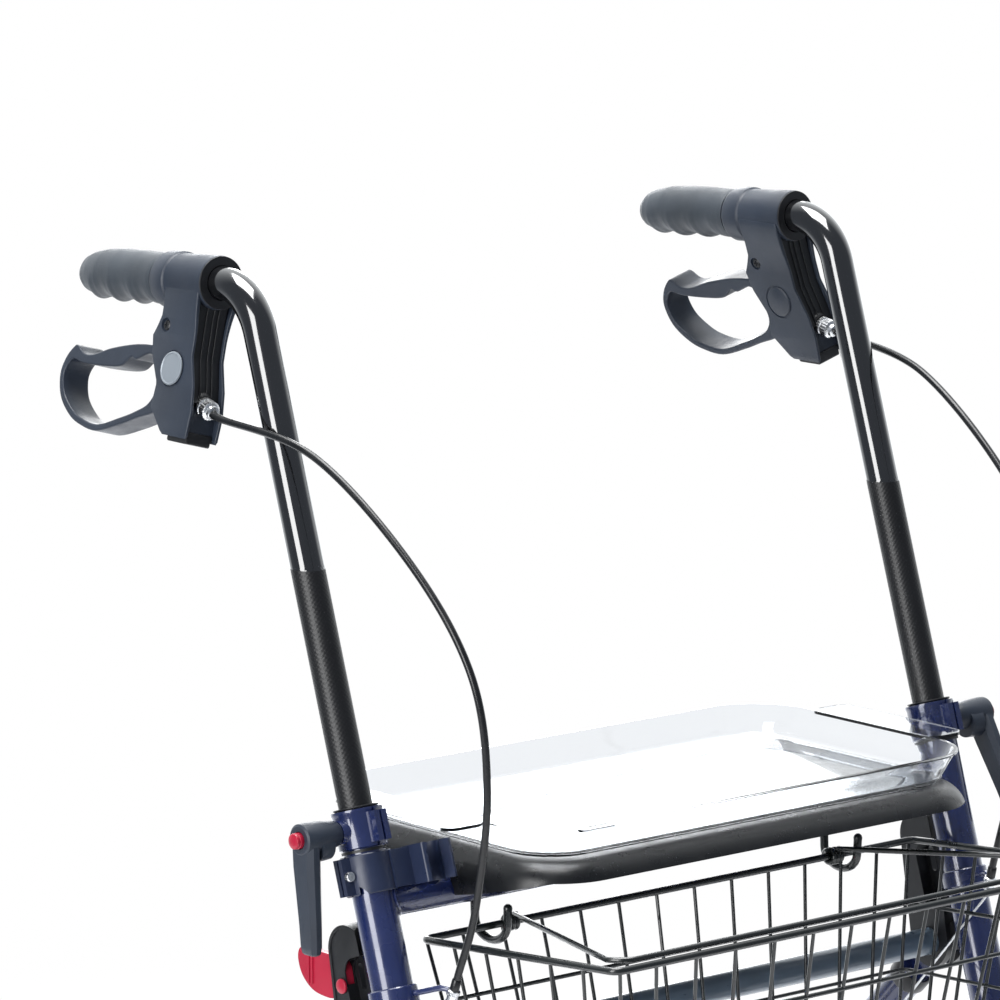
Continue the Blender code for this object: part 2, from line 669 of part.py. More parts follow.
LEVER_OUTER = [(0.1470, 0.0490), (0.1550, 0.0450), (0.1700, 0.0430), (0.1860, 0.0425), (0.2060, 0.0445),
               (0.2300, 0.0500), (0.2470, 0.0560), (0.2580, 0.0570), (0.2670, 0.0525), (0.2715, 0.0540),
               (0.2780, 0.0625), (0.2805, 0.0740), (0.2750, 0.0880), (0.2630, 0.0980), (0.2490, 0.1035),
               (0.2280, 0.1055), (0.2030, 0.0980), (0.1860, 0.0915), (0.1680, 0.0850), (0.1580, 0.0760),
               (0.1500, 0.0635), (0.1455, 0.0560)]
LEVER_INNER = [(0.1840, 0.0490), (0.2000, 0.0540), (0.2060, 0.0530), (0.2150, 0.0600), (0.2320, 0.0625),
               (0.2580, 0.0635), (0.2690, 0.0620), (0.2745, 0.0670), (0.2760, 0.0745), (0.2710, 0.0855),
               (0.2600, 0.0940), (0.2480, 0.0990), (0.2280, 0.1010), (0.2050, 0.0935), (0.1900, 0.0875),
               (0.1770, 0.0800), (0.1730, 0.0680)]


def brake_lever():
    """Loop lever: a broad band that leaves the housing, turns round and comes back."""
    loop = housing_prism(LEVER_OUTER, -LEVER_HALF, LEVER_HALF)
    window = housing_prism(LEVER_INNER, -0.03, 0.03)
    pin = spindle([(-0.03, 0.0034), (0.03, 0.0034)], housing_point(*LEVER_PIVOT), TILT_OUT, 10)
    return combine(loop, cut=(window, pin))


def lever_pin():
    """Lever's pivot pin, capped by a round badge outside and a flat head inside."""
    head = PLATE_OUT + FIT
    return spindle([(-head - 0.0014, 0.0080), (-head, 0.0086), (-head + 0.0001, 0.0030),
                    (head - 0.0001, 0.0030), (head, 0.0112), (head + 0.0010, 0.0112),
                    (head + 0.0018, 0.0100)], housing_point(*LEVER_PIVOT), TILT_OUT, 18)


# ---------------------------------------------------------------- cables

def smooth_route(points, spacing):
    """Evenly stepped points of a Catmull-Rom curve through a route."""
    points = [Vector(p) for p in points]
    ends = [2 * points[0] - points[1], *points, 2 * points[-1] - points[-2]]
    fine = []
    for a, b, c, d in zip(ends, ends[1:], ends[2:], ends[3:]):
        for k in range(20):
            t = k / 20
            fine.append(0.5 * (2 * b + (c - a) * t + (2 * a - 5 * b + 4 * c - d) * t ** 2
                               + (3 * b - a - 3 * c + d) * t ** 3))
    fine.append(points[-1])
    total = sum((q - p).length for p, q in zip(fine, fine[1:]))
    step = total / round(total / spacing)
    kept, run = [fine[0]], 0.0
    for p, q in zip(fine, fine[1:]):
        length = (q - p).length
        while run + length >= step and length > 0:
            p = p + (q - p) * ((step - run) / length)
            kept.append(p)
            length = (q - p).length
            run = 0.0
        run += length
    kept[-1] = fine[-1] if (kept[-1] - fine[-1]).length < step / 2 else kept[-1]
    return kept


def cable_curve(name, points, radius, kind, side):
    """Round cable as a curve with filled ends."""
    curve = bpy.data.curves.new(name, "CURVE")
    curve.dimensions = "3D"
    curve.bevel_depth = radius
    curve.bevel_resolution = 2
    curve.use_fill_caps = True
    spline = curve.splines.new("POLY")
    spline.points.add(len(points) - 1)
    for knot, point in zip(spline.points, points):
        knot.co = (*mirrored(point, side), 1.0)
    curve.materials.append(material(kind, name))
    made = bpy.data.objects.new(name, curve)
    bpy.context.collection.objects.link(made)


CABLE_TOP = ADJUSTER_SEAT + ADJUSTER_DIR * (ADJUSTER_LENGTH + FIT)
CABLE_FOOT = STOP_CUP - CABLE_DOWN * (0.008 + FIT)
CABLE_ROUTE = [CABLE_TOP, CABLE_TOP + ADJUSTER_DIR * 0.010, spot(0.2681, 0.0246, 0.8671),
               spot(0.2610, -0.0624, 0.8100), spot(0.2550, -0.1153, 0.7453),
               spot(0.2440, -0.1177, 0.6701), spot(0.2365, -0.0975, 0.5900), CABLE_FOOT]
BRAKE_TAIL = BRAKE_PIVOT - REAR_SIDE * 0.030 - OUTWARD * 0.0187
WIRE_TOP = STOP_CUP + CABLE_DOWN * (0.008 + FIT)


def brake_wire_route():
    """Bare wire from the cable stop to the tail of the brake arm, passing inside the leg."""
    end = BRAKE_TAIL + (WIRE_TOP - BRAKE_TAIL).normalized() * 0.0066
    knee = WIRE_TOP + CABLE_DOWN * 0.006
    return [WIRE_TOP, knee] + [knee.lerp(end, k / 6) for k in range(1, 7)]


# ---------------------------------------------------------------- wheels and rear frame

def tyre(centre):
    """Solid tyre with a rounded tread."""
    w, r = WHEEL_HALF, WHEEL_R
    profile = [(-w + 0.0035, 0.0780), (-w, 0.0850), (-w + 0.0020, 0.0940), (-w + 0.0085, r),
               (w - 0.0085, r), (w - 0.0020, 0.0940), (w, 0.0850), (w - 0.0035, 0.0780)]
    return hoop(profile, centre, OUTWARD, 30)


def wheel_rim(centre):
    """Moulded rim: hub, five spokes and outer band, made as one."""
    profile = [(-0.0165, AXLE_R + 0.0004), (-0.0165, 0.0135), (-0.0045, 0.0165), (-0.0045, 0.0680),
               (-0.0125, 0.0690), (-0.0125, 0.0773), (0.0125, 0.0773), (0.0125, 0.0690),
               (0.0045, 0.0680), (0.0045, 0.0165), (0.0165, 0.0135), (0.0165, AXLE_R + 0.0004)]
    up, back = Vector((0, 0, 1)), Vector((0, 1, 0))
    windows = []
    for k in range(5):
        turn = 72 * k + 18
        outline = (arc((0, 0), 0.0620, turn - 25.5, turn + 25.5, 4)
                   + arc((0, 0), 0.0260, turn + 13.3, turn - 13.3, 2))
        windows.append(prism(outline, centre, back, up, OUTWARD, -0.02, 0.02))
    return combine(hoop(profile, centre, OUTWARD, 20), cut=windows)


def fork():
    """Caster fork: stem, crown and two raked arms."""
    up, back = Vector((0, 0, 1)), Vector((0, 1, 0))
    stem = spindle([(0.2150, 0.0080), (0.2850, 0.0080)], STEM, up, 12)
    crown = block(spot(HALF_TRACK, STEM_Y + 0.004, 0.2155), (0.053, 0.044, 0.0130))
    start = STEM_Y - 0.018
    outline = ([(start, 0.2215), (start, 0.2050)] + arc((STEM_Y + TRAIL, WHEEL_R), 0.0130, 200, 380, 7)
               + [(start + 0.044, 0.2050), (start + 0.044, 0.2215)])
    arms = [prism(outline, spot(HALF_TRACK, 0, 0), back, up, OUTWARD, low, low + 0.005)
            for low in (-0.0265, 0.0215)]
    hole = spindle([(-0.04, AXLE_R + 0.0004), (0.04, AXLE_R + 0.0004)], FRONT_AXLE, OUTWARD, 12)
    return combine(crown, joined=(stem, *arms), cut=(hole,))


def front_axle():
    return spindle([(-0.0308, 0.0060), (-0.0268, 0.0075), (-0.0267, AXLE_R), (0.0267, AXLE_R),
                    (0.0268, 0.0075), (0.0308, 0.0060)], FRONT_AXLE, OUTWARD, 12)


def rear_axle():
    out = REAR_WHEEL_X - HALF_TRACK
    leg = REAR_LEG_R + 2 * FIT
    hub = 0.0165 + FIT
    return spindle([(-leg - 0.005, 0.0055), (-leg, 0.0070), (-leg + 0.0001, AXLE_R), (leg, AXLE_R),
                    (leg + 0.0001, 0.0075), (out - hub - 0.0001, 0.0075), (out - hub, AXLE_R),
                    (out + hub, AXLE_R), (out + hub + 0.0001, 0.0090), (out + hub + 0.004, 0.0070)],
                   REAR_AXLE, OUTWARD, 12)


def rear_leg():
    """Rear leg: a tube with a flat tongue that turns on the pivot tube."""
    length = (REAR_AXLE - PIVOT).length
    tube = rod([PIVOT + REAR_DOWN * 0.034, REAR_AXLE + REAR_DOWN * 0.015], REAR_LEG_R)
    eye = arc((0, 0), EYE_R, 60, 300, 9)
    tongue = prism([(0.046, -0.0100), (0.046, 0.0100), *eye], PIVOT, REAR_DOWN, REAR_SIDE, OUTWARD,
                   -TONGUE_HALF, TONGUE_HALF)
    bore = rod([PIVOT + REAR_DOWN * 0.052, REAR_AXLE + REAR_DOWN * 0.03], REAR_LEG_R - 0.0018, 12)
    holes = [spindle([(-0.03, r), (0.03, r)], centre, OUTWARD, SIDES)
             for centre, r in ((PIVOT, PIVOT_R + 0.0004), (REAR_AXLE, AXLE_R + 0.0004),
                               (PIVOT + REAR_DOWN * (length - BRAKE_REACH), AXLE_R + 0.0004))]
    return combine(tube, joined=(tongue,), cut=(bore, *holes))


def pivot_tube():
    """Cross tube that carries both fold joints."""
    end = HALF_TRACK + HOUSING_HALF
    return pipe([mirrored((end, PIVOT.y, PIVOT.z), side) for side in (-1, 1)], PIVOT_R,
                PIVOT_R - 0.0016)


def brake_arm():
    """Rear brake: shaft through the leg, inner tail for the wire, outer arm and shoe."""
    shaft = spindle([(-0.0205, AXLE_R), (0.0220, AXLE_R)], BRAKE_PIVOT, OUTWARD, 12)
    tail_outline = arc((0, 0), 0.0075, 0, 180, 6) + arc((0, -0.030), 0.0055, 180, 360, 6)
    tail = prism(tail_outline, BRAKE_PIVOT, REAR_DOWN, REAR_SIDE, OUTWARD, -0.0205, -0.0165)
    to_pivot = -REAR_DOWN
    up_turn = Matrix.Rotation(SHOE_TURN, 4, OUTWARD)
    radial = (up_turn @ to_pivot if (up_turn @ to_pivot).z > to_pivot.z
              else Matrix.Rotation(-SHOE_TURN, 4, OUTWARD) @ to_pivot)
    tangent = OUTWARD.cross(radial)
    shoe_outline = [(WHEEL_R * math.sin(t) * 1.03, WHEEL_R * math.cos(t) * 1.03)
                    for t in [math.radians(a) for a in (-9, -4.5, 0, 4.5, 9)]]
    shoe_outline += [(s * 0.8, WHEEL_R + 0.0095) for s in (0.016, -0.016)]
    shoe = prism(shoe_outline, REAR_AXLE, tangent, radial, OUTWARD, 0.0190, 0.0500)
    ridge = REAR_AXLE + radial * (WHEEL_R + 0.0065)
    reach = (ridge - BRAKE_PIVOT).normalized()
    rise = OUTWARD.cross(reach)
    span = (ridge - BRAKE_PIVOT).length
    bar = prism([(-0.0080, -0.0060), (span, -0.0030), (span, 0.0030), (-0.0080, 0.0060)],
                BRAKE_PIVOT, reach, rise, OUTWARD, 0.0160, 0.0225)
    return combine(shaft, joined=(tail, bar, shoe))


# ---------------------------------------------------------------- assembly

def build():
    """Makes every node of the walker."""
    for old in list(bpy.data.objects):
        bpy.data.objects.remove(old)

    place("seat_cross_tube", seat_cross_tube(), "navy_paint")
    place_pair("front_leg", front_leg, "navy_paint", PIVOT)
    place_pair("collar", collar, "navy_paint")
    for side, word in SIDE_NAMES.items():
        lever = clamp_lever(CLAMP_SWING[word])
        place(f"{word}_clamp_lever", lever, "black_plastic", leg_point(CLAMP_Z), side)
    place_pair("clamp_button", clamp_button, "red_plastic", leg_point(CLAMP_Z))
    for side, word in SIDE_NAMES.items():
        place(f"{word}_lock_housing", lock_housing(word == "right"), "black_plastic", side=side)
    place("right_fold_catch", fold_catch(), "red_plastic", PIVOT + LEG_UP * CATCH_RISE, side=-1)
    place_pair("caster_head", caster_head, "black_plastic")
    place_pair("cable_stop", cable_stop, "steel")
    place("right_clip_bracket", clip_bracket(), "black_plastic", side=-1)

    place("seat", seat(), "seat_plastic")
    place("tray", tray(), "clear_plastic", spot(0, 0, SEAT_TOP))
    place_pair("basket_hook", basket_hook, "wire_black")
    place("basket", basket(), "wire_black")
    place("basket_handle", basket_handle(), "wire_black",
          spot(0, RIM_BACK - 0.0035, bail_height(RIM_BACK - 0.0035)))

    place_pair("handle_tube", handle_tube, "black_tube", leg_point(COLLAR_Z))
    place_pair("brake_housing", brake_housing, "black_plastic")
    place_pair("grip", grip, "grip_rubber")
    place_pair("brake_lever", brake_lever, "black_plastic", housing_point(*LEVER_PIVOT))
    place_pair("lever_pin", lever_pin, "steel")
    place_pair("adjuster", adjuster, "steel")
    for side, word in SIDE_NAMES.items():
        route = smooth_route(CABLE_ROUTE, 0.0160)
        cable_curve(f"{word}_brake_cable", route, CABLE_R, "cable_sheath", side)
        cable_curve(f"{word}_brake_wire", brake_wire_route(), 0.0008, "steel", side)

    place_pair("caster_fork", fork, "black_plastic", STEM)
    place_pair("front_axle", front_axle, "steel", FRONT_AXLE)
    place_pair("front_tyre", lambda: tyre(FRONT_AXLE), "tyre", FRONT_AXLE)
    place_pair("front_rim", lambda: wheel_rim(FRONT_AXLE), "wheel_plastic", FRONT_AXLE)

    rear_hub = Vector((REAR_WHEEL_X, REAR_AXLE.y, REAR_AXLE.z))
    place_pair("rear_leg", rear_leg, "navy_paint", PIVOT)
    place("pivot_tube", pivot_tube(), "navy_paint")
    place_pair("rear_axle", rear_axle, "steel", REAR_AXLE)
    place_pair("rear_tyre", lambda: tyre(rear_hub), "tyre", rear_hub)
    place_pair("rear_rim", lambda: wheel_rim(rear_hub), "wheel_plastic", rear_hub)
    place_pair("brake_arm", brake_arm, "black_plastic", BRAKE_PIVOT)


build()
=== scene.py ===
"""Looks of a folding four-wheeled walker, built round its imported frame.

Metres, +Z up, the walker faces -Y.  Paired pieces are made for the +X side and mirrored.
Distances along Y are given behind the collars, and spot() turns them into world points.
"""

import json
import math

import bmesh
import bpy
from mathutils import Matrix, Vector


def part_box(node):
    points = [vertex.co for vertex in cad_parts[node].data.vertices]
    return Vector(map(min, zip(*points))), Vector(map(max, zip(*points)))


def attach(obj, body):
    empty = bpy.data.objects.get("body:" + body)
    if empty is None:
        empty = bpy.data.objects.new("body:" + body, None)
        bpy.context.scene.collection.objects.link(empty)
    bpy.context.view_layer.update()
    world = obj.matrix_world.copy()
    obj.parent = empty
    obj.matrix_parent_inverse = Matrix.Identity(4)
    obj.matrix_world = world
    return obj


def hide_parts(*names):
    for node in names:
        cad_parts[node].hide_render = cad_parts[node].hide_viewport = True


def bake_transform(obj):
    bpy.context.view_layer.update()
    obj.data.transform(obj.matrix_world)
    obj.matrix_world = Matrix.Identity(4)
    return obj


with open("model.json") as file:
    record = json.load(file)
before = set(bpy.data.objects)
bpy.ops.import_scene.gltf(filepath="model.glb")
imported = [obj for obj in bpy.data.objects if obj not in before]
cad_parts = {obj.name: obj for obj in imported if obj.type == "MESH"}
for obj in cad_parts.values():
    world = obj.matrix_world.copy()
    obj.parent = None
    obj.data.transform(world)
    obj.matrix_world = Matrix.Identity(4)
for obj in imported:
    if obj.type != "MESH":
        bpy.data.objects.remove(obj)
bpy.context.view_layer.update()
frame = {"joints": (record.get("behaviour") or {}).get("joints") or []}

JOINTS = {joint["name"]: joint for joint in frame["joints"]}
SIDE_NAMES = {1: "left", -1: "right"}
OUTWARD = Vector((1, 0, 0))
BACK = Vector((0, 1, 0))
UP = Vector((0, 0, 1))


def joint_at(name):
    return Vector(JOINTS[name]["pos_m"])


def mirrored(point, side):
    return Vector((point[0] * side, point[1], point[2]))


# ---------------------------------------------------------------- scene helpers

def add_node(tree, kind, inputs=None, **settings):
    """New shader node with its settings and input values."""
    made = tree.nodes.new("ShaderNode" + kind)
    for name, value in settings.items():
        setattr(made, name, value)
    for name, value in (inputs or {}).items():
        made.inputs[name].default_value = value
    return made


def add_ramp(tree, stops):
    """Colour ramp from two (position, colour) stops."""
    made = add_node(tree, "ValToRGB")
    for element, (position, colour) in zip(made.color_ramp.elements, stops):
        element.position = position
        element.color = (*colour, 1)
    return made


def link_nodes(tree, *runs):
    """Links (node, output, node, input) runs."""
    for source, output, target, socket in runs:
        tree.links.new(source.outputs[output], target.inputs[socket])


def new_material(name):
    """New material, with its node tree and its shader."""
    made = bpy.data.materials.new(name)
    made.use_nodes = True
    return made, made.node_tree, made.node_tree.nodes["Principled BSDF"]


def object_from(bm, name):
    """Turns a solid into an object of the scene."""
    mesh = bpy.data.meshes.new(name)
    bm.to_mesh(mesh)
    bm.free()
    made = bpy.data.objects.new(name, mesh)
    bpy.context.collection.objects.link(made)
    return made


# ---------------------------------------------------------------- stage

def aim(thing, place, target):
    """Puts a camera or light at a place, looking at a target."""
    thing.location = place
    thing.rotation_euler = (Vector(target) - Vector(place)).to_track_quat("-Z", "Y").to_euler()
    bpy.context.collection.objects.link(thing)


def make_camera():
    data = bpy.data.cameras.new("camera")
    data.lens = 232.1
    data.sensor_width = 36.0
    camera = bpy.data.objects.new("camera", data)
    aim(camera, (-2.79103, -3.24182, 1.56199), (-0.0516, -0.0106, 0.8044))
    bpy.context.scene.camera = camera


def soft_box(name, place, target, size, watts):
    """Rectangular area light."""
    data = bpy.data.lights.new(name, "AREA")
    data.shape = "RECTANGLE"
    data.size, data.size_y = size
    data.energy = watts
    aim(bpy.data.objects.new(name, data), place, target)


def make_world():
    """White studio: bright behind the walker and above, dimmer towards the camera's side."""
    world = bpy.data.worlds.new("studio")
    world.use_nodes = True
    tree = world.node_tree
    background = tree.nodes["Background"]
    place = add_node(tree, "TexCoord")
    facing = add_node(tree, "VectorMath", {1: (0.63, 0.74, 0.24)}, operation="DOT_PRODUCT")
    half = add_node(tree, "MapRange", {"From Min": -1.0})
    ramp = add_ramp(tree, ((0.58, (0.14, 0.155, 0.18)), (0.90, (0.95, 0.98, 1.0))))
    path = add_node(tree, "LightPath")
    seen = add_node(tree, "Math", operation="MAXIMUM")
    mix = add_node(tree, "Mix", {"B": (1.0, 1.0, 1.0, 1)}, data_type="RGBA")
    strength = add_node(tree, "MapRange", {"To Min": 1.6, "To Max": 1.0})
    link_nodes(tree, (place, "Generated", facing, 0), (facing, "Value", half, "Value"),
               (half, "Result", ramp, "Fac"), (path, "Is Camera Ray", seen, 0),
               (path, "Is Transmission Ray", seen, 1), (seen, "Value", mix, "Factor"),
               (seen, "Value", strength, "Value"), (strength, "Result", background, "Strength"),
               (ramp, "Color", mix, "A"), (mix, "Result", background, "Color"))
    bpy.context.scene.world = world
    bpy.context.scene.view_settings.view_transform = "Standard"


FLOOR_R = 2.0


def make_floor():
    """Round pale floor that fades out before its rim."""
    bm = bmesh.new()
    bmesh.ops.create_circle(bm, cap_ends=True, radius=FLOOR_R, segments=96)
    floor = object_from(bm, "floor")
    made, tree, shader = new_material("floor")
    shader.inputs["Base Color"].default_value = (0.90, 0.90, 0.91, 1)
    shader.inputs["Roughness"].default_value = 0.7
    place = add_node(tree, "TexCoord")
    reach = add_node(tree, "VectorMath", operation="LENGTH")
    fade = add_node(tree, "MapRange", {"From Min": 0.45 * FLOOR_R, "From Max": 0.95 * FLOOR_R,
                                       "To Min": 1.0, "To Max": 0.0}, interpolation_type="SMOOTHSTEP")
    link_nodes(tree, (place, "Object", reach, 0), (reach, "Value", fade, "Value"),
               (fade, "Result", shader, "Alpha"))
    floor.data.materials.append(made)


def make_stage():
    make_camera()
    make_world()
    make_floor()
    middle = (0.0, 0.0, 0.75)
    soft_box("key", (-2.35, -0.62, 1.30), middle, (1.1, 2.2), 60)
    soft_box("top", (-0.1, 0.2, 2.9), middle, (1.5, 1.5), 85)
    soft_box("back_fill", (1.6, 2.2, 1.5), middle, (1.0, 1.8), 26)


# ---------------------------------------------------------------- finishes

BLOTCH_SCALE = 22.0
KNURL_LOW, KNURL_HIGH = 0.606, 0.790


def finish(name, colour, rough, metallic=0.0, coat=0.0, mottle=0.12, grain=(900.0, 0.05),
           rough_swing=0.08, sheen=0.0, ior=1.5):
    """Procedural finish: mottled colour, uneven gloss and a fine surface grain."""
    made, tree, shader = new_material(name)
    for socket, value in (("Metallic", metallic), ("Coat Weight", coat), ("Coat Roughness", 0.04),
                          ("Sheen Weight", sheen), ("IOR", ior)):
        shader.inputs[socket].default_value = value
    scale, strength = grain
    place = add_node(tree, "TexCoord")
    blotches, gloss, skin = (add_node(tree, "TexNoise", {"Scale": size, "Detail": detail})
                             for size, detail in ((BLOTCH_SCALE, 4.0), (BLOTCH_SCALE * 3.1, 6.0),
                                                  (scale, 3.0)))
    ramp = add_ramp(tree, ((0.30, [c * (1 - mottle) for c in colour]),
                           (0.70, [min(1.0, c * (1 + mottle)) for c in colour])))
    spread = add_node(tree, "MapRange", {"From Min": 0.3, "From Max": 0.7,
                                         "To Min": max(0.02, rough - rough_swing),
                                         "To Max": rough + rough_swing})
    bump = add_node(tree, "Bump", {"Strength": strength, "Distance": 0.0004})
    for noise in (blotches, gloss, skin):
        link_nodes(tree, (place, "Object", noise, "Vector"))
    link_nodes(tree, (blotches, "Fac", ramp, "Fac"), (ramp, "Color", shader, "Base Color"),
               (gloss, "Fac", spread, "Value"), (spread, "Result", shader, "Roughness"),
               (skin, "Fac", bump, "Height"), (bump, "Normal", shader, "Normal"))
    return made


def clear_finish():
    """Clear moulded plastic with faint flow marks."""
    made = finish("clear_plastic", (0.905, 0.930, 0.960), 0.03, mottle=0.006, grain=(60.0, 0.02),
                  rough_swing=0.015, ior=1.49)
    made.node_tree.nodes["Principled BSDF"].inputs["Transmission Weight"].default_value = 1.0
    return made


def tube_finish():
    """Glossy black, dull on the knurled stretch of the tube."""
    made = finish("black_tube", (0.003, 0.0032, 0.004), 0.16, 0.0, 1.0, 0.25, (420.0, 0.04))
    tree = made.node_tree
    shader = tree.nodes["Principled BSDF"]
    shader.inputs["Coat IOR"].default_value = 1.75
    place = add_node(tree, "TexCoord")
    apart = add_node(tree, "SeparateXYZ")
    knurled = add_node(tree, "Math", {1: (KNURL_LOW + KNURL_HIGH) / 2, 2: (KNURL_HIGH - KNURL_LOW) / 2},
                       operation="COMPARE")
    link_nodes(tree, (place, "Object", apart, "Vector"), (apart, "Z", knurled, 0))
    for socket, smooth, dull in (("Coat Weight", 1.0, 0.0), ("Roughness", 0.16, 0.42)):
        span = add_node(tree, "MapRange", {"To Min": smooth, "To Max": dull})
        link_nodes(tree, (knurled, "Value", span, "Value"), (span, "Result", shader, socket))
    return made


FINISHES = {
    "navy_paint": finish("navy_paint", (0.010, 0.018, 0.078), 0.24, 0.1, 1.0, 0.18, (260.0, 0.08)),
    "black_tube": tube_finish(),
    # Lighter copy of the navy paint for the pivot tube: its pale grey-blue is a painted highlight standing
    # in for the light the tube reflects.
    "navy_tube_painted_highlight": finish("navy_tube_painted_highlight", (0.105, 0.145, 0.190), 0.34, 0.1, 0.5, 0.14, (300.0, 0.08)),
    "black_plastic": finish("black_plastic", (0.017, 0.024, 0.038), 0.44, mottle=0.16,
                            grain=(2600.0, 0.30)),
    "navy_plastic": finish("navy_plastic", (0.014, 0.021, 0.050), 0.34, mottle=0.16,
                           grain=(2200.0, 0.20)),
    "dark_plastic": finish("dark_plastic", (0.005, 0.0055, 0.007), 0.40, mottle=0.20,
                           grain=(2200.0, 0.25)),
    "grip_rubber": finish("grip_rubber", (0.022, 0.030, 0.040), 0.52, mottle=0.22,
                          grain=(1500.0, 0.75), sheen=0.10),
    "seat_plastic": finish("seat_plastic", (0.0045, 0.005, 0.0058), 0.30, mottle=0.20,
                           grain=(1500.0, 0.10)),
    "clear_plastic": clear_finish(),
    "red_plastic": finish("red_plastic", (0.36, 0.007, 0.030), 0.34, mottle=0.07,
                          grain=(1800.0, 0.10)),
    "wire_black": finish("wire_black", (0.005, 0.007, 0.007), 0.30, 0.0, 0.5, 0.25, (1200.0, 0.14)),
    "steel": finish("steel", (0.74, 0.75, 0.76), 0.26, 1.0, 0.0, 0.06, (900.0, 0.03)),
    "badge_silver": finish("badge_silver", (0.24, 0.27, 0.30), 0.42, 0.35, 0.3, 0.05, (900.0, 0.05)),
    "tyre": finish("tyre", (0.014, 0.014, 0.015), 0.78, mottle=0.25, grain=(1400.0, 0.70)),
    "wheel_plastic": finish("wheel_plastic", (0.018, 0.020, 0.024), 0.46, mottle=0.16,
                            grain=(1900.0, 0.30)),
    "cable_sheath": finish("cable_sheath", (0.005, 0.0055, 0.0065), 0.30, mottle=0.25,
                           grain=(1500.0, 0.12)),
}


# ---------------------------------------------------------------- solids

def ringed(rings, closed=False):
    """Skin over rings of equally many points; open ends are capped unless it closes on itself."""
    bm = bmesh.new()
    loops = [[bm.verts.new(point) for point in ring] for ring in rings]
    for low, high in zip(loops, loops[1:] + (loops[:1] if closed else [])):
        for i in range(len(low)):
            j = (i + 1) % len(low)
            bm.faces.new((low[i], low[j], high[j], high[i]))
    if not closed:
        bm.faces.new(loops[0][::-1])
        bm.faces.new(loops[-1])
    bmesh.ops.recalc_face_normals(bm, faces=bm.faces)
    return bm


def frame_of(axis):
    """Two unit vectors square to an axis and to each other."""
    helper = UP if abs(axis.z) < 0.9 else BACK
    side = axis.cross(helper).normalized()
    return side, axis.cross(side).normalized()


def around(turn, u, v):
    """Direction at an angle from u towards v."""
    return math.cos(turn) * u + math.sin(turn) * v


def rings_along(path, radius, sides, relief=None):
    """Round rings along a path, without twist; relief(ring, turn) adds to the radius."""
    path = [Vector(p) for p in path]
    steps = [(b - a).normalized() for a, b in zip(path, path[1:])]
    heads = [steps[0]] + [(a + b).normalized() for a, b in zip(steps, steps[1:])] + [steps[-1]]
    side = frame_of(heads[0])[0]
    rings = []
    for k, (point, head) in enumerate(zip(path, heads)):
        side = (side - head * side.dot(head)).normalized()
        other = head.cross(side)
        ring = []
        for turn in (2 * math.pi * (i + 0.5) / sides for i in range(sides)):
            r = radius + (relief(k, turn) if relief else 0.0)
            ring.append(point + r * around(turn, side, other))
        rings.append(ring)
    return rings


def rod(path, radius, sides=32):
    return ringed(rings_along(path, radius, sides))


def pipe(path, radius, bore):
    outer, inner = (rings_along(path, r, 56) for r in (radius, bore))
    return ringed(outer + inner[::-1], closed=True)


def turned(profile, centre, axis, sides, relief=None):
    """Rings of a turned shape; profile is (along axis, radius)."""
    side, other = frame_of(axis)
    rings = []
    for k, (h, r) in enumerate(profile):
        ring = []
        for turn in (2 * math.pi * (i + 0.5) / sides for i in range(sides)):
            reach = r + (relief(k, turn) if relief else 0.0)
            ring.append(centre + axis * h + reach * around(turn, side, other))
        rings.append(ring)
    return rings


def spindle(profile, centre, axis, sides=56, relief=None):
    return ringed(turned(profile, centre, axis, sides, relief))


def cylinder(radius, low, high, centre, axis, sides=56):
    return spindle([(low, radius), (high, radius)], centre, axis, sides)


def hoop(profile, centre, axis, sides=56, relief=None):
    return ringed(turned(profile, centre, axis, sides, relief), closed=True)


def prism(outline, origin, across, along, normal, low, high):
    """Outline of (across, along) points pushed from low to high along the normal."""
    base = [origin + across * a + along * b for a, b in outline]
    return ringed([[p + normal * low for p in base], [p + normal * high for p in base]])


def block(centre, size, axes=(OUTWARD, BACK, UP)):
    """Box with its size along world or given axes."""
    u, v, w = axes
    a, b, c = (s / 2 for s in size)
    return prism([(-a, -b), (a, -b), (a, b), (-a, b)], Vector(centre), u, v, w, -c, c)


def arc(centre, radius, start, end, count):
    """Points of an arc, angles in degrees."""
    turns = [math.radians(start + (end - start) * k / (count - 1)) for k in range(count)]
    return [(centre[0] + radius * math.cos(t), centre[1] + radius * math.sin(t)) for t in turns]


def rounded_rect(low_x, high_x, low_y, high_y, radius, steps=10):
    """Rounded rectangle, counter-clockwise."""
    corners = [(high_x - radius, high_y - radius, 0), (low_x + radius, high_y - radius, 90),
               (low_x + radius, low_y + radius, 180), (high_x - radius, low_y + radius, 270)]
    points = []
    for x, y, turn in corners:
        points += arc((x, y), radius, turn, turn + 90, steps)
    return points


def catmull(a, b, c, d, t):
    return 0.5 * (2 * b + (c - a) * t + (2 * a - 5 * b + 4 * c - d) * t ** 2
                  + (3 * b - a - 3 * c + d) * t ** 3)


def smooth_line(points, steps):
    """Points of a smooth curve through a route."""
    points = [Vector(p) for p in points]
    ends = [2 * points[0] - points[1], *points, 2 * points[-1] - points[-2]]
    fine = [catmull(a, b, c, d, k / steps)
            for a, b, c, d in zip(ends, ends[1:], ends[2:], ends[3:]) for k in range(steps)]
    return fine + [points[-1]]


def smooth_loop(points, steps=5):
    """Points of a smooth closed curve through an outline."""
    points = [Vector(p) for p in points]
    n = len(points)
    return [tuple(catmull(points[i - 1], points[i], points[(i + 1) % n], points[(i + 2) % n], k / steps))
            for i in range(n) for k in range(steps)]


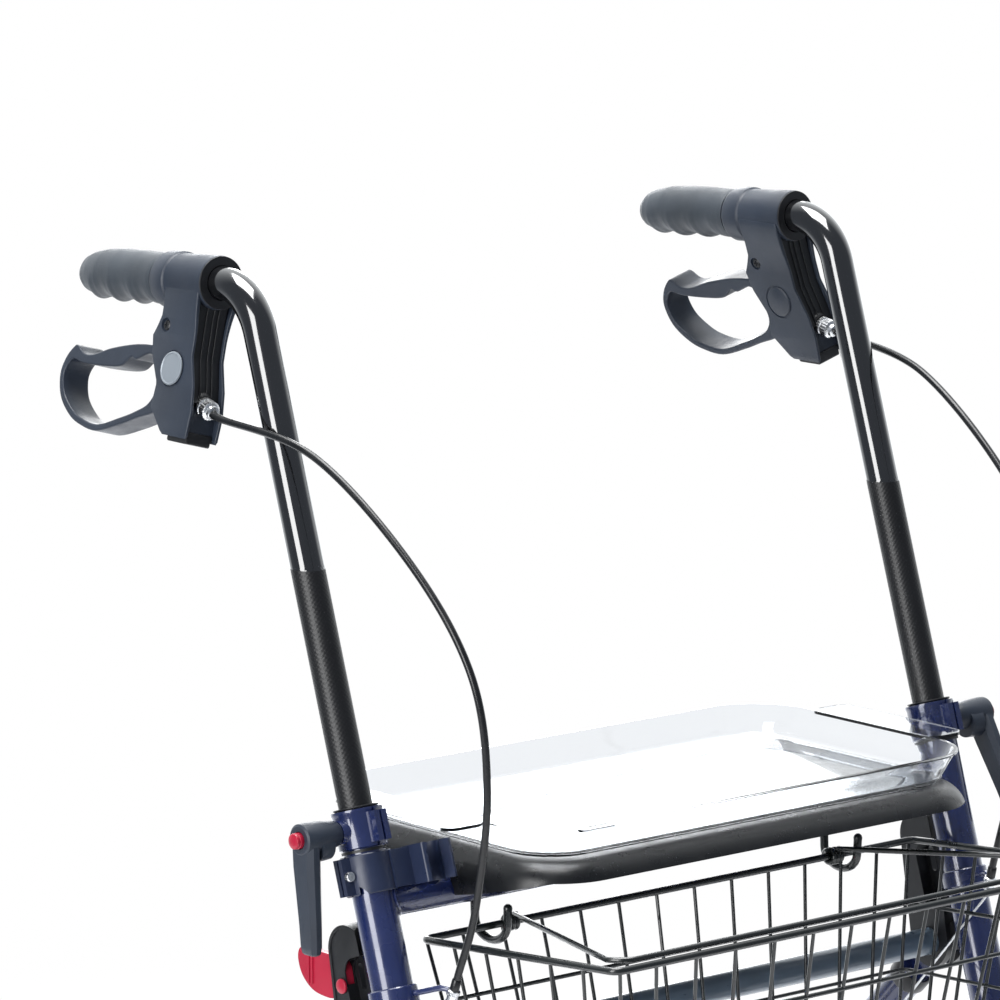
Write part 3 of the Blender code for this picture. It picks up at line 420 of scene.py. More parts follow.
def combine(base, joined=(), cut=()):
    """Boolean result: the joined solids are added to the base, then the cut ones removed."""
    body = object_from(base, "base")
    tools = []
    for operation, solids in (("UNION", joined), ("DIFFERENCE", cut)):
        for solid in solids:
            tool = object_from(solid, "tool")
            modifier = body.modifiers.new(operation.lower(), "BOOLEAN")
            modifier.operation = operation
            modifier.solver = "EXACT"
            modifier.object = tool
            tools.append(tool)
    mesh = bpy.data.meshes.new_from_object(body.evaluated_get(bpy.context.evaluated_depsgraph_get()))
    result = bmesh.new()
    result.from_mesh(mesh)
    for temporary in [body, *tools]:
        bpy.data.objects.remove(temporary)
    bpy.data.meshes.remove(mesh)
    bmesh.ops.remove_doubles(result, verts=result.verts, dist=0.000003)
    return result


def gathered(solids):
    """Several closed solids in one mesh."""
    result = bmesh.new()
    for solid in solids:
        mesh = bpy.data.meshes.new("part")
        solid.to_mesh(mesh)
        solid.free()
        result.from_mesh(mesh)
        bpy.data.meshes.remove(mesh)
    return result


# ---------------------------------------------------------------- pieces

SHARP_ANGLE, BEVEL_ANGLE = math.radians(35), math.radians(38)


def piece(name, bm, kind, body, stands_for=(), side=1, bevel=0.0):
    """Adds a shown piece that rides on a body and stands for CAD nodes."""
    if side < 0:
        bmesh.ops.scale(bm, vec=(-1, 1, 1), verts=bm.verts)
        bmesh.ops.reverse_faces(bm, faces=bm.faces)
    made = object_from(bm, name)
    made.data.shade_smooth()
    made.data.set_sharp_from_angle(angle=SHARP_ANGLE)
    made.data.materials.append(FINISHES[kind])
    if bevel:
        rounding = made.modifiers.new("edges", "BEVEL")
        rounding.width = bevel
        rounding.segments = 3
        rounding.limit_method = "ANGLE"
        rounding.angle_limit = BEVEL_ANGLE
        rounding.harden_normals = True
    if body:
        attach(made, body)
    if stands_for:
        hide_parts(*stands_for)
    return made


def pair(name, build, kind, body, stands_for=(), bevel=0.0):
    """Left and right copies; {side} in the body and node names becomes left or right."""
    for side, word in SIDE_NAMES.items():
        nodes = [node.format(side=word) for node in stands_for]
        piece(f"{word}_{name}", build(), kind, body.format(side=word), nodes, side, bevel)


# ---------------------------------------------------------------- shared places

COLLAR_Y, COLLAR_Z = -0.1075, 0.640
FIT = 0.0003
LEG_R, LEG_BORE = 0.0140, 0.0117
LEG_FOOT_Z = 0.240
CLAMP = joint_at("left_clamp_turn")
LEG_UP = Vector(JOINTS["left_handle_height"]["axis"]).normalized()
LEG_BACK = Vector((0, LEG_UP.z, -LEG_UP.y))
LEG_AXES = (OUTWARD, LEG_BACK, LEG_UP)
HALF_TRACK = CLAMP.x
STEM = Vector((*joint_at("left_caster_swivel").xy, 0))
FRONT_AXLE = joint_at("left_front_wheel_spin")
REAR_HUB = joint_at("left_rear_wheel_spin")
REAR_AXLE = Vector((HALF_TRACK, REAR_HUB.y, REAR_HUB.z))
PIVOT = Vector((HALF_TRACK, *joint_at("fold").yz))
CATCH_PIN = mirrored(joint_at("right_catch_turn"), -1)
BRAKE_PIVOT = joint_at("left_rear_brake_press")
REAR_DOWN = (REAR_AXLE - PIVOT).normalized()
REAR_SIDE = OUTWARD.cross(REAR_DOWN)
REAR_LENGTH = (REAR_AXLE - PIVOT).length


def spot(x, y, z):
    """World point at y metres behind the collars."""
    return Vector((x, y + COLLAR_Y, z))


def leg_point(z):
    """Point of the front leg's axis at height z."""
    return CLAMP + LEG_UP * ((z - CLAMP.z) / LEG_UP.z)


# ---------------------------------------------------------------- front frame

CROSS_Y, CROSS_Z, CROSS_R = -0.0184, 0.583, 0.0125
TUBE_WALL = 0.0016


def front_leg():
    """Leg tube with a softly rounded top."""
    foot, top = leg_point(LEG_FOOT_Z), leg_point(COLLAR_Z - 0.0005)
    length = (top - foot).length
    lip = 0.0008
    profile = [(0.0, LEG_R), (length - lip, LEG_R), (length, LEG_R - lip), (length, LEG_BORE),
               (0.0, LEG_BORE)]
    return hoop(profile, foot, LEG_UP, 64)


def seat_cross_tube():
    """Tube between the legs, its ends cut to sit on them."""
    ends = [spot(side * HALF_TRACK, CROSS_Y, CROSS_Z) for side in (-1, 1)]
    legs = [rod([mirrored(leg_point(z), side) for z in (0.53, 0.63)], LEG_R + FIT, 64)
            for side in (-1, 1)]
    return combine(pipe(ends, CROSS_R, CROSS_R - TUBE_WALL), cut=legs)


def weld_ring():
    """Fillet weld where the cross tube meets the leg."""
    path = []
    for k in range(49):
        turn = 2 * math.pi * k / 48
        y, z = CROSS_R * math.cos(turn), CROSS_R * math.sin(turn)
        at = spot(0, CROSS_Y, CROSS_Z) + Vector((0, y, z))
        off = (at - leg_point(at.z)).dot(LEG_BACK)
        reach = math.sqrt(max((LEG_R + 0.0004) ** 2 - off ** 2, 1e-8))
        path.append(Vector((HALF_TRACK - reach, at.y, at.z)))
    rings = rings_along(path[:-1] + [path[0]], 0.0013, 10, lambda k, turn: 0.00015 * math.sin(k * 2.1))
    return ringed(rings[:-1], closed=True)


def collar():
    """Clamp ring round the leg's top, split in front, with the boss of the clamp screw."""
    ring = spindle([(-0.0125, 0.0154), (-0.0118, 0.0163), (0.0100, 0.0166), (0.0112, 0.0171),
                    (0.0128, 0.0170)], CLAMP, LEG_UP, 72)
    ears = block(CLAMP - LEG_BACK * 0.0190, (0.0100, 0.0100, 0.0196), LEG_AXES)
    boss = spindle([(0.012, 0.0092), (0.0170, 0.0080), (0.0195, 0.0078)], CLAMP, OUTWARD, 40)
    bore = cylinder(LEG_R + 0.0004, -0.05, 0.05, CLAMP, LEG_UP, 72)
    slit = block(CLAMP - LEG_BACK * 0.0200, (0.0016, 0.0240, 0.0400), LEG_AXES)
    return combine(ring, joined=(ears, boss), cut=(bore, slit))


def liner_and_painted_gap_shade():
    """Dark liner that shows between collar and tube, and a dark ring on the leg below the collar that paints
    the shade of the gap there.
    """
    top = CLAMP + LEG_UP * 0.0133
    upper = hoop([(-0.0002, 0.0141), (0.0006, 0.0150), (0.0012, 0.0148), (0.0014, 0.0136),
                  (0.0010, 0.0118), (-0.0002, 0.0118)], top, LEG_UP, 64)
    # Painted shade: a thin dark band on the leg standing for the shadow under the collar.
    lower = hoop([(0.0, 0.0141), (0.0, 0.0150), (0.0018, 0.0150), (0.0018, 0.0141)],
                 CLAMP - LEG_UP * 0.0148, LEG_UP, 64)
    return gathered([upper, lower])


CLAMP_SWING = {"left": math.radians(28), "right": 0.0}


def clamp_lever(swing):
    """Ratchet lever: a flared hub on the clamp screw and a faceted arm, swung forward."""
    hub = spindle([(0.0200, 0.0076), (0.0215, 0.0084), (0.0260, 0.0092), (0.0330, 0.0102),
                   (0.0460, 0.0108), (0.0492, 0.0104), (0.0502, 0.0090)], CLAMP, OUTWARD, 48)
    turn = Matrix.Rotation(-swing, 4, OUTWARD)
    back, up = turn @ BACK, turn @ UP
    rings = []
    for drop, shift, half, low, high in ((-0.0060, 0.0, 0.0086, 0.0385, 0.0496),
                                         (0.0060, 0.0, 0.0104, 0.0385, 0.0498),
                                         (0.0180, -0.0006, 0.0102, 0.0385, 0.0498),
                                         (0.0560, -0.0034, 0.0085, 0.0390, 0.0484),
                                         (0.0700, -0.0040, 0.0080, 0.0392, 0.0480),
                                         (0.0738, -0.0041, 0.0072, 0.0398, 0.0474),
                                         (0.0750, -0.0041, 0.0056, 0.0408, 0.0464)):
        cut = 0.30 * (high - low)
        section = [(-half, low + cut), (-half + cut, low), (half - cut, low), (half, low + cut),
                   (half, high - cut), (half - cut, high), (-half + cut, high), (-half, high - cut)]
        rings.append([CLAMP + OUTWARD * out + back * (shift + across) - up * drop
                      for across, out in section])
    neck = spindle([(0.0280, 0.0100), (0.0385, 0.0106)], CLAMP - up * 0.0055, OUTWARD, 40)
    socket = cylinder(0.0058, 0.0425, 0.0600, CLAMP, OUTWARD, 40)
    return combine(hub, joined=(ringed(rings), neck), cut=(socket,))


def clamp_button():
    """Domed release button with a ring groove."""
    return spindle([(0.0455, 0.0050), (0.0522, 0.0053), (0.0528, 0.0048), (0.0533, 0.0048),
                    (0.0538, 0.0052), (0.0548, 0.0049), (0.0554, 0.0036), (0.0557, 0.0015)],
                   CLAMP, OUTWARD, 40)


HOUSING_BACK = 0.0374
CASE_R, CASE_HALF, CASE_LENGTH, CASE_LEAN = 0.018, 0.0105, 0.0725, 0.0105
BAND_CLEARANCE = 0.0172
PIVOT_R = 0.0095
TONGUE_HALF = 0.0042
EYE_R = 0.0145
CASE_AXES = (LEG_BACK, LEG_UP, OUTWARD)
CATCH_IN, CATCH_OUT = 0.0030, 0.0086


def capsule(radius, low, high, steps=24, shift=0.0):
    """Outline with round ends at two heights, its upper end shifted."""
    return arc((0, low), radius, 180, 360, steps) + arc((shift, high), radius, 0, 180, steps)


def leg_run(radius):
    """Round cutter along the leg beside the fold joint case."""
    return rod([leg_point(0.44), leg_point(0.60)], radius, 64)


def lock_case(has_catch):
    """Fold joint case: round ended, pocketed beside the leg, slotted for tongue and catch."""
    case = combine(prism(capsule(CASE_R, 0, CASE_LENGTH, 24, -CASE_LEAN), PIVOT, *CASE_AXES,
                         -CASE_HALF, CASE_HALF), cut=(leg_run(BAND_CLEARANCE),))
    front = LEG_R - HOUSING_BACK + FIT
    lugs = [prism([(front, h - 0.006), (-0.016, h - 0.006), (-0.016, h + 0.006), (front, h + 0.006)],
                  PIVOT, *CASE_AXES, -0.006, 0.006) for h in (0.004, 0.0625)]
    slot = prism([(-EYE_R - 0.0007, -0.05), (0.05, -0.05), (0.05, EYE_R + 0.001),
                  (-EYE_R - 0.0007, EYE_R + 0.001)], PIVOT, *CASE_AXES, -TONGUE_HALF - FIT,
                 TONGUE_HALF + FIT)
    bore = cylinder(PIVOT_R + 0.0002, -0.05, 0.05, PIVOT, OUTWARD)
    pin = cylinder(0.0034, 0.002, 0.05, CATCH_PIN, OUTWARD, 32)
    pocket = ([(-0.0300, 0.024), (-0.0045, 0.024)] + arc((-0.0150, 0.0580), 0.0105, 0, 90, 12)
              + [(-0.0300, 0.0690)])
    pockets = [prism(pocket, PIVOT, *CASE_AXES, low, low + 0.01) for low in (0.0010, -0.0110)]
    window = prism([(back - 0.0105, up) for back, up in capsule(0.0024, 0.0490, 0.0620, 12)],
                   PIVOT, *CASE_AXES, -0.02, 0.02)
    catch_slot = prism([(-0.0042, -0.0130), (0.0300, -0.0160), (0.0300, 0.0340), (-0.0042, 0.0250)],
                       CATCH_PIN, BACK, UP, OUTWARD, CATCH_IN - 0.0004, CATCH_OUT + 0.0004)
    rim = prism(capsule(CASE_R - 0.0022, 0.0, CASE_LENGTH, 24, -CASE_LEAN), PIVOT, *CASE_AXES,
                CASE_HALF - 0.0006, CASE_HALF + 0.001)
    removed = [leg_run(LEG_R + FIT), slot, bore, *pockets, window, rim]
    if has_catch:
        removed += [pin, catch_slot]
    return combine(case, joined=lugs, cut=removed)


CATCH_OUTLINE = [(-0.0026, 0.0040), (-0.0028, -0.0020), (0.0000, -0.0070), (0.0070, -0.0092),
                 (0.0160, -0.0112), (0.0320, -0.0092), (0.0430, -0.0016), (0.0476, 0.0080),
                 (0.0468, 0.0152), (0.0410, 0.0176), (0.0200, 0.0178), (0.0060, 0.0172),
                 (0.0000, 0.0130)]


def fold_catch():
    """Red thumb catch that swings out of the fold joint case on its pin."""
    plate = prism(smooth_loop(CATCH_OUTLINE, 6), CATCH_PIN, BACK, UP, OUTWARD, CATCH_IN, CATCH_OUT)
    ribs = [prism([(back + 0.0009 * x, up) for x, up in ((-1, -0.0050), (1, -0.0050), (1, 0.0130),
                                                         (-1, 0.0130))],
                  CATCH_PIN, BACK, UP, OUTWARD, CATCH_IN - 0.0008, CATCH_OUT + 0.0008)
            for back in (0.0330, 0.0365)]
    pin = cylinder(0.0030, 0.0022, CASE_HALF + 0.0010, CATCH_PIN, OUTWARD, 24)
    cap = spindle([(CASE_HALF + 0.0002, 0.0050), (CASE_HALF + 0.0012, 0.0048),
                   (CASE_HALF + 0.0018, 0.0036)], CATCH_PIN, OUTWARD, 32)
    return combine(plate, joined=(*ribs, pin, cap))


def caster_head():
    """Moulded head that holds the leg's foot and the caster's stem."""
    barrel = spindle([(0.2240, 0.0155), (0.2256, 0.0168), (0.2860, 0.0168), (0.2890, 0.0155),
                      (0.2904, 0.0120)], STEM, UP, 64)
    foot = leg_point(LEG_FOOT_Z)
    socket = spindle([(-0.0050, 0.0160), (-0.0030, 0.0183), (0.0440, 0.0183), (0.0455, 0.0175),
                      (0.0475, 0.0175), (0.0498, 0.0166)], foot, LEG_UP, 64)
    web = block(spot(HALF_TRACK, -0.150, 0.2590), (0.014, 0.034, 0.052))
    bore = cylinder(0.0083, 0.2, 0.2870, STEM, UP, 40)
    hole = cylinder(LEG_R + 0.0003, -0.0004, 0.08, foot, LEG_UP, 64)
    return combine(barrel, joined=(socket, web), cut=(bore, hole))


STOP_ALONG, STOP_REACH = 0.5233, 0.0472
STOP_TURN = math.atan2(0.0444, 0.0161)
STOP_OUT = -OUTWARD * math.cos(STOP_TURN) - LEG_BACK * math.sin(STOP_TURN)
STOP_CUP = leg_point(STOP_ALONG) + STOP_OUT * STOP_REACH
CABLE_DOWN = Vector((0.060, 0.298, -0.953)).normalized()


def cable_stop():
    """Band round the leg and a bent arm that carries the cable's end cup."""
    at = leg_point(STOP_ALONG)
    band = spindle([(-0.006, 0.0156), (-0.0052, 0.0164), (0.0052, 0.0164), (0.006, 0.0156)],
                   at, LEG_UP, 64)
    end = STOP_CUP + CABLE_DOWN * 0.0080
    arm = rod([at + STOP_OUT * 0.0150, at + STOP_OUT * 0.0360, at + STOP_OUT * 0.0420 + CABLE_DOWN * 0.0022,
               end - STOP_OUT * 0.0020], 0.0020, 24)
    bore = cylinder(LEG_R + FIT, -0.05, 0.05, at, LEG_UP, 64)
    return combine(band, joined=(arm,), cut=(bore,))


def cable_cup():
    """Bright cup that the sheath ends in."""
    return spindle([(0.0035, 0.0034), (0.0040, 0.0042), (0.0062, 0.0044), (0.0070, 0.0038),
                    (0.0105, 0.0037), (0.0112, 0.0043), (0.0125, 0.0040), (0.0130, 0.0026)],
                   STOP_CUP, CABLE_DOWN, 40)


CLIP_ALONG = 0.600
CLIP_SPOT = (0.2205, -0.0330)


def clip_bracket():
    """Accessory clip: a collar with an outer ear, a solid arm and a square C that grips a rod."""
    at = leg_point(CLIP_ALONG)
    x, y = CLIP_SPOT
    middle = at + OUTWARD * (x - HALF_TRACK) + LEG_BACK * (y - at.y + COLLAR_Y)
    ring = spindle([(-0.0130, 0.0162), (-0.0122, 0.0170), (0.0122, 0.0170), (0.0130, 0.0162)],
                   at, LEG_UP, 72)
    ear = block(at + OUTWARD * 0.0185, (0.0100, 0.0083, 0.0240), LEG_AXES)
    arm = block(at - OUTWARD * 0.0165 - LEG_BACK * 0.0080, (0.0200, 0.0193, 0.0245), LEG_AXES)
    cee = prism(rounded_rect(-0.0124, 0.0124, -0.0118, 0.0112, 0.0022), middle, *LEG_AXES,
                -0.0127, 0.0127)
    bore = cylinder(LEG_R + FIT, -0.05, 0.05, at, LEG_UP, 72)
    throat = cylinder(0.0086, -0.05, 0.05, middle, LEG_UP, 56)
    mouth = prism([(-0.0070, -0.003), (-0.0094, -0.0118), (-0.0094, -0.030), (0.0094, -0.030),
                   (0.0094, -0.0118), (0.0070, -0.003)], middle, *LEG_AXES, -0.03, 0.03)
    split = block(at + OUTWARD * 0.020, (0.018, 0.0016, 0.06), LEG_AXES)
    tube = rod([spot(0.15, CROSS_Y, CROSS_Z), spot(0.27, CROSS_Y, CROSS_Z)], CROSS_R + FIT, 56)
    return combine(ring, joined=(ear, arm, cee), cut=(bore, throat, mouth, split, tube))


def clip_screw():
    """Cap screw through the clip's ear."""
    at = leg_point(CLIP_ALONG) + OUTWARD * 0.0200
    head = spindle([(-0.0070, 0.0030), (-0.0064, 0.0034), (-0.0043, 0.0034)], at, LEG_BACK, 32)
    socket = cylinder(0.0016, -0.02, -0.0055, at, LEG_BACK, 6)
    return combine(head, cut=(socket,))


# ---------------------------------------------------------------- seat and tray

SEAT_LOW, SEAT_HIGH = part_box("seat")
SEAT_HALF = SEAT_HIGH.x
SEAT_FRONT, SEAT_BACK = SEAT_LOW.y, SEAT_HIGH.y
SEAT_TOP, SKIRT_Z = SEAT_HIGH.z, SEAT_LOW.z
SEAT_CORNER = 0.050


def seat_ring(inset, z):
    points = rounded_rect(-SEAT_HALF + inset, SEAT_HALF - inset, SEAT_FRONT + inset, SEAT_BACK - inset,
                          max(SEAT_CORNER - inset, 0.008), 16)
    return [Vector((x, y, z)) for x, y in points]


SKIRT_END_Z = 0.5995
ROLL_IN, ROLL_DOWN = 0.0200, 0.0230
SEAT_SKIN = 0.003
SKIRT_FLAT, SKIRT_RUN, SKIRT_STEPS = 0.006, 0.099, 16


def seat():
    """Moulded seat: a fat rolled edge, a flat top with a fine lip, skirts deepest at mid side."""
    rings = [seat_ring(0.0045, SKIRT_Z), seat_ring(0.0030, SKIRT_Z + 0.0006),
             seat_ring(0.0010, SKIRT_Z + 0.0055)]
    for k in range(17):
        turn = math.radians(90 * k / 16)
        rings.append(seat_ring(ROLL_IN * (1 - math.cos(turn)), SEAT_TOP - ROLL_DOWN * (1 - math.sin(turn))))
    rings += [seat_ring(0.0210, SEAT_TOP), seat_ring(0.0217, SEAT_TOP - 0.0008),
              seat_ring(0.0300, SEAT_TOP - 0.0010), seat_ring(0.0600, SEAT_TOP - 0.0012)]
    shell = ringed(rings)
    skin = SEAT_SKIN
    hollow = ringed([seat_ring(skin + 0.003, SKIRT_Z - 0.01), seat_ring(skin + 0.001, SKIRT_Z + 0.008),
                     seat_ring(skin + 0.004, SEAT_TOP - 0.014), seat_ring(skin + 0.012, SEAT_TOP - 0.0065),
                     seat_ring(skin + 0.03, SEAT_TOP - 0.0045)])
    cuts = [hollow]
    middle = Vector((0, (SEAT_FRONT + SEAT_BACK) / 2, 0))
    shares = [k / SKIRT_STEPS for k in range(SKIRT_STEPS + 1)]
    slope = [(SKIRT_FLAT + SKIRT_RUN * share, SKIRT_Z + (SKIRT_END_Z - SKIRT_Z) * share ** 1.15)
             for share in shares]
    for way in (-1, 1):
        outline = ([(way * SKIRT_FLAT, SKIRT_Z - 0.02)] + [(way * y, z) for y, z in slope]
                   + [(way * 0.150, SKIRT_END_Z), (way * 0.150, SKIRT_Z - 0.02)])
        cuts.append(prism(outline, middle, BACK, UP, OUTWARD, -0.25, 0.25))
    body = combine(shell, cut=cuts)
    saddles = [block(spot(x, CROSS_Y + 0.004, 0.5965), (0.016, 0.056, 0.0240)) for x in (-0.11, 0.11)]
    tube = rod([spot(-0.26, CROSS_Y, CROSS_Z), spot(0.26, CROSS_Y, CROSS_Z)], CROSS_R + FIT, 56)
    notches = [block(spot(x, CROSS_Y, CROSS_Z - 0.02), (0.03, 2 * CROSS_R + 3 * FIT, 0.04))
               for x in (-SEAT_HALF, SEAT_HALF)]
    return combine(body, joined=saddles, cut=(tube, *notches))


TRAY_FLOOR, TRAY_TOP = (corner.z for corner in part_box("tray"))
TRAY_HALF, TRAY_CORNER = 0.187, 0.038
TRAY_FRONT, TRAY_BACK = -0.106, 0.102
TRAY_SKIN = 0.0022


def tray():
    """Clear tray: a shallow tapered tub with a rolled rim and a carrying flange at each end."""
    def level(grow, share, z):
        half = TRAY_HALF + 0.010 * share + grow
        low_y, high_y = TRAY_FRONT - 0.007 * share - grow, TRAY_BACK + 0.007 * share + grow
        points = rounded_rect(-half, half, low_y, high_y, TRAY_CORNER + 0.007 * share + grow, 16)
        return [spot(x, y, z) for x, y in points]

    height = TRAY_TOP - TRAY_FLOOR
    outer, inner = [], []
    for k in range(7):
        turn = math.radians(90 * k / 6)
        outer.append(level(-0.005 * (1 - math.sin(turn)), 0.0, TRAY_FLOOR + 0.005 * (1 - math.cos(turn))))
        inner.append(level(-TRAY_SKIN - 0.004 * (1 - math.sin(turn)), 0.0,
                           TRAY_FLOOR + TRAY_SKIN + 0.004 * (1 - math.cos(turn))))
    for share in (0.4, 0.7, 1.0):
        z = TRAY_FLOOR + 0.005 + (height - 0.0056) * share
        outer.append(level(0.0, share, z))
        inner.append(level(-TRAY_SKIN, share, z))
    lip = [level(0.0014, 1.0, TRAY_TOP - 0.0012), level(0.0012, 1.0, TRAY_TOP - 0.0002),
           level(-0.0004, 1.0, TRAY_TOP), level(-TRAY_SKIN + 0.0004, 1.0, TRAY_TOP)]
    tub = ringed(outer + lip + inner[::-1])
    flange_z = TRAY_TOP - 0.0014
    wings = []
    for side in (-1, 1):
        low, high = sorted((side * 0.1955, side * 0.2298))
        outline = rounded_rect(low, high, -0.0620, 0.0580, 0.0100, 8)
        wings.append(prism(outline, spot(0, 0, flange_z), OUTWARD, BACK, UP, -0.0011, 0.0011))
    tab = prism(rounded_rect(-0.1650, -0.1350, -0.1190, -0.1115, 0.0030, 6), spot(0, 0, flange_z),
                OUTWARD, BACK, UP, -0.0009, 0.0009)
    return combine(tub, joined=(*wings, tab))


# ---------------------------------------------------------------- basket

RIM_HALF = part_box("basket")[1].x
RIM_BACK, RIM_FRONT = -0.020, -0.214
RIM_Z, RIM_RISE = 0.555, 0.015
FLOOR_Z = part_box("basket")[0].z
FLOOR_HALF = 0.186
FLOOR_IN_FRONT, FLOOR_IN_BACK = 0.034, 0.025
RIM_WIRE, BELT_WIRE, THIN_WIRE = 0.0025, 0.0015, 0.00125
BELT_CORNER, FLOOR_BEND = 0.007, 0.010
BASKET_SPACES = 13
SIDE_SPACES = 6


def rim_height(y):
    """The basket's rim rises from its back to its front."""
    return RIM_Z + RIM_RISE * (RIM_BACK - y) / (RIM_BACK - RIM_FRONT)


def wall_point(across, along, share):
    """Point of the wall: across and along from -1 to 1, share 0 at the rim to 1 at the floor."""
    half = RIM_HALF - RIM_WIRE + (FLOOR_HALF - RIM_HALF) * share
    low_y = RIM_FRONT + RIM_WIRE + FLOOR_IN_FRONT * share
    high_y = RIM_BACK - RIM_WIRE - FLOOR_IN_BACK * share
    y = low_y + (high_y - low_y) * (along + 1) / 2
    top = rim_height(RIM_FRONT + (RIM_BACK - RIM_FRONT) * (along + 1) / 2) - RIM_WIRE
    return spot(half * across, y, top + (FLOOR_Z + RIM_WIRE - top) * share)


def belt(share, radius):
    """Closed wire round the basket."""
    half = RIM_HALF - RIM_WIRE + (FLOOR_HALF - RIM_HALF) * share
    low_y = RIM_FRONT + RIM_WIRE + FLOOR_IN_FRONT * share
    high_y = RIM_BACK - RIM_WIRE - FLOOR_IN_BACK * share
    outline = rounded_rect(-half, half, low_y, high_y, BELT_CORNER, 8)
    path = []
    for (x0, y0), (x1, y1) in zip(outline, outline[1:] + outline[:1]):
        count = 1 if math.hypot(x1 - x0, y1 - y0) < 0.02 else 12
        for k in range(count):
            y = y0 + (y1 - y0) * k / count
            top = rim_height(RIM_FRONT + (RIM_BACK - RIM_FRONT) * (y - low_y) / (high_y - low_y)) - RIM_WIRE
            z = top + (FLOOR_Z + RIM_WIRE - top) * share
            path.append(spot(x0 + (x1 - x0) * k / count, y, z))
    return ringed(rings_along(path + path[:1], radius, 14)[:-1], closed=True)


def u_wire(point, floor_reach, lift=0.0):
    """Wire down a wall, across the floor and up again; point(way, share) runs from way 1 to -1."""
    def low(way):
        return point(way, 1) + UP * lift

    down, up = ([point(way, share) for share in (0.0, 0.35, 0.7)] for way in (1, -1))
    floor = [low(floor_reach * way) for way in (1, 0, -1)]
    bends = []
    for corner, near, far in ((low(1), down[-1], floor[0]), (low(-1), floor[-1], up[-1])):
        ends = [corner + (end - corner).normalized() * FLOOR_BEND for end in (near, far)]
        bends.append(rounded(ends, corner))
    return rod(down + bends[0] + floor + bends[1] + up[::-1], THIN_WIRE, 10)


def basket():
    """Welded wire basket: rim, belts and U wires both ways."""
    wires = [belt(0.0, RIM_WIRE), belt(0.255, BELT_WIRE), belt(0.52, THIN_WIRE), belt(0.78, THIN_WIRE),
             belt(1.0, BELT_WIRE)]
    for k in range(BASKET_SPACES + 1):
        across = max(-0.985, min(0.985, -1 + 2 * k / BASKET_SPACES))
        wires.append(u_wire(lambda way, share: wall_point(across, way, share), 0.6))
    for k in range(1, SIDE_SPACES):
        along = -1 + 2 * k / SIDE_SPACES
        wires.append(u_wire(lambda way, share: wall_point(-way, along, share), 0.8, 2 * THIN_WIRE))
    return gathered(wires)


def rounded(ends, corner, steps=6):
    """Points that round a corner between two ends."""
    a, b = ends
    return [(1 - t) ** 2 * a + 2 * t * (1 - t) * corner + t ** 2 * b
            for t in (k / steps for k in range(steps + 1))]


HOOK_X = joint_at("basket_bail_swing").x + 0.156
BAIL_R = 0.0019


def bail_height(y):
    return rim_height(y) + BAIL_R + 0.0006


def basket_bail():
    """Wire carrying handle lying on the rim, its ends wound round the back rim wire."""
    back_y, front_y = RIM_BACK - 0.0026, RIM_FRONT + 0.0060
    bail_x, corner = 0.1440, 0.214
    run = [(bail_x, back_y - 0.004), (corner - 0.003, front_y + 0.014), (corner - 0.0055, front_y + 0.004),
           (corner - 0.014, front_y)]
    run += [(-x, y) for x, y in reversed(run)]
    knots = [spot(x, y, bail_height(y)) for x, y in run]
    path = [knots[0].lerp(knots[1], k / 8) for k in range(8)]
    path += rounded([knots[1], knots[3]], knots[2], 8)
    path += [knots[3].lerp(knots[4], k / 24) for k in range(1, 24)]
    path += rounded([knots[4], knots[6]], knots[5], 8)
    path += [knots[6].lerp(knots[7], k / 8) for k in range(1, 9)]
    wires = [rod(path, BAIL_R, 16)]
    for side in (-1, 1):
        middle = spot(side * bail_x, RIM_BACK - RIM_WIRE, RIM_Z - RIM_WIRE)
        coil = []
        for k in range(97):
            turn = 2 * math.pi * k / 32
            coil.append(middle + OUTWARD * side * (0.0035 * k / 32 - 0.0052)
                        + 0.0042 * around(turn, UP, BACK))
        wires.append(rod(coil, BAIL_R, 12))
    return gathered(wires)


def basket_hook():
    """Round bar bent to a J under the seat; its finger carries the basket's back rim."""
    front, back = -0.0335, -0.0010
    low = 0.5420
    run = [(back + 0.0020, SEAT_TOP - 0.0060), (back, low + 0.012)]
    turns = [math.radians(a) for a in range(0, -181, -15)]
    middle, half = (front + back) / 2, (back - front) / 2
    run += [(middle + half * math.cos(t), low + 0.012 + 0.0125 * math.sin(t)) for t in turns]
    run += [(front - 0.0006, low + 0.0235)]
    path = [spot(HOOK_X, y, z) for y, z in run]
    ball = spindle([(-0.0028, 0.0028), (0.0, 0.0031), (0.0015, 0.0026), (0.0026, 0.0012)], path[-1], UP, 24)
    flange = spindle([(0.0, 0.0065), (0.0025, 0.0060)], path[0] - UP * 0.0020, UP, 32)
    return gathered([rod(path, 0.0029, 24), ball, flange])


# ---------------------------------------------------------------- handles

TUBE_R, TUBE_BORE = 0.0111, 0.0095
TUBE_FOOT_Z = 0.440
KNURL_STARTS = 22
KNURL_STEP = 0.00066
GRIP_Z, GRIP_DROP = 0.9751, 0.073
BEND_R = 0.040
GRIP_START, GRIP_END = 0.1960, 0.2880
HOUSING_Z = 0.959
HOUSING_TILT = math.radians(16)
TOE_IN = math.radians(2)
PLATE_IN, PLATE_OUT = 0.0112, 0.0135
LEVER_PIVOT, SCREW_SPOT = (0.155, 0.055), (0.1712, 0.0280)
SLEEVE_Y = 0.158
LEVER_HALF = 0.0108
TOE = Matrix.Rotation(TOE_IN, 4, LEG_UP)
GRIP_DIR = (TOE @ Vector((0, 1, -GRIP_DROP))).normalized()
TILT_DOWN = TOE @ Vector((math.sin(HOUSING_TILT), 0, -math.cos(HOUSING_TILT)))
TILT_OUT = TOE @ Vector((math.cos(HOUSING_TILT), 0, math.sin(HOUSING_TILT)))
TILT_BACK = TOE @ BACK


def toed(point):
    """Point turned with the whole handle about the leg's axis, so the grips toe in."""
    anchor = leg_point(COLLAR_Z)
    return anchor + TOE @ (Vector(point) - anchor)


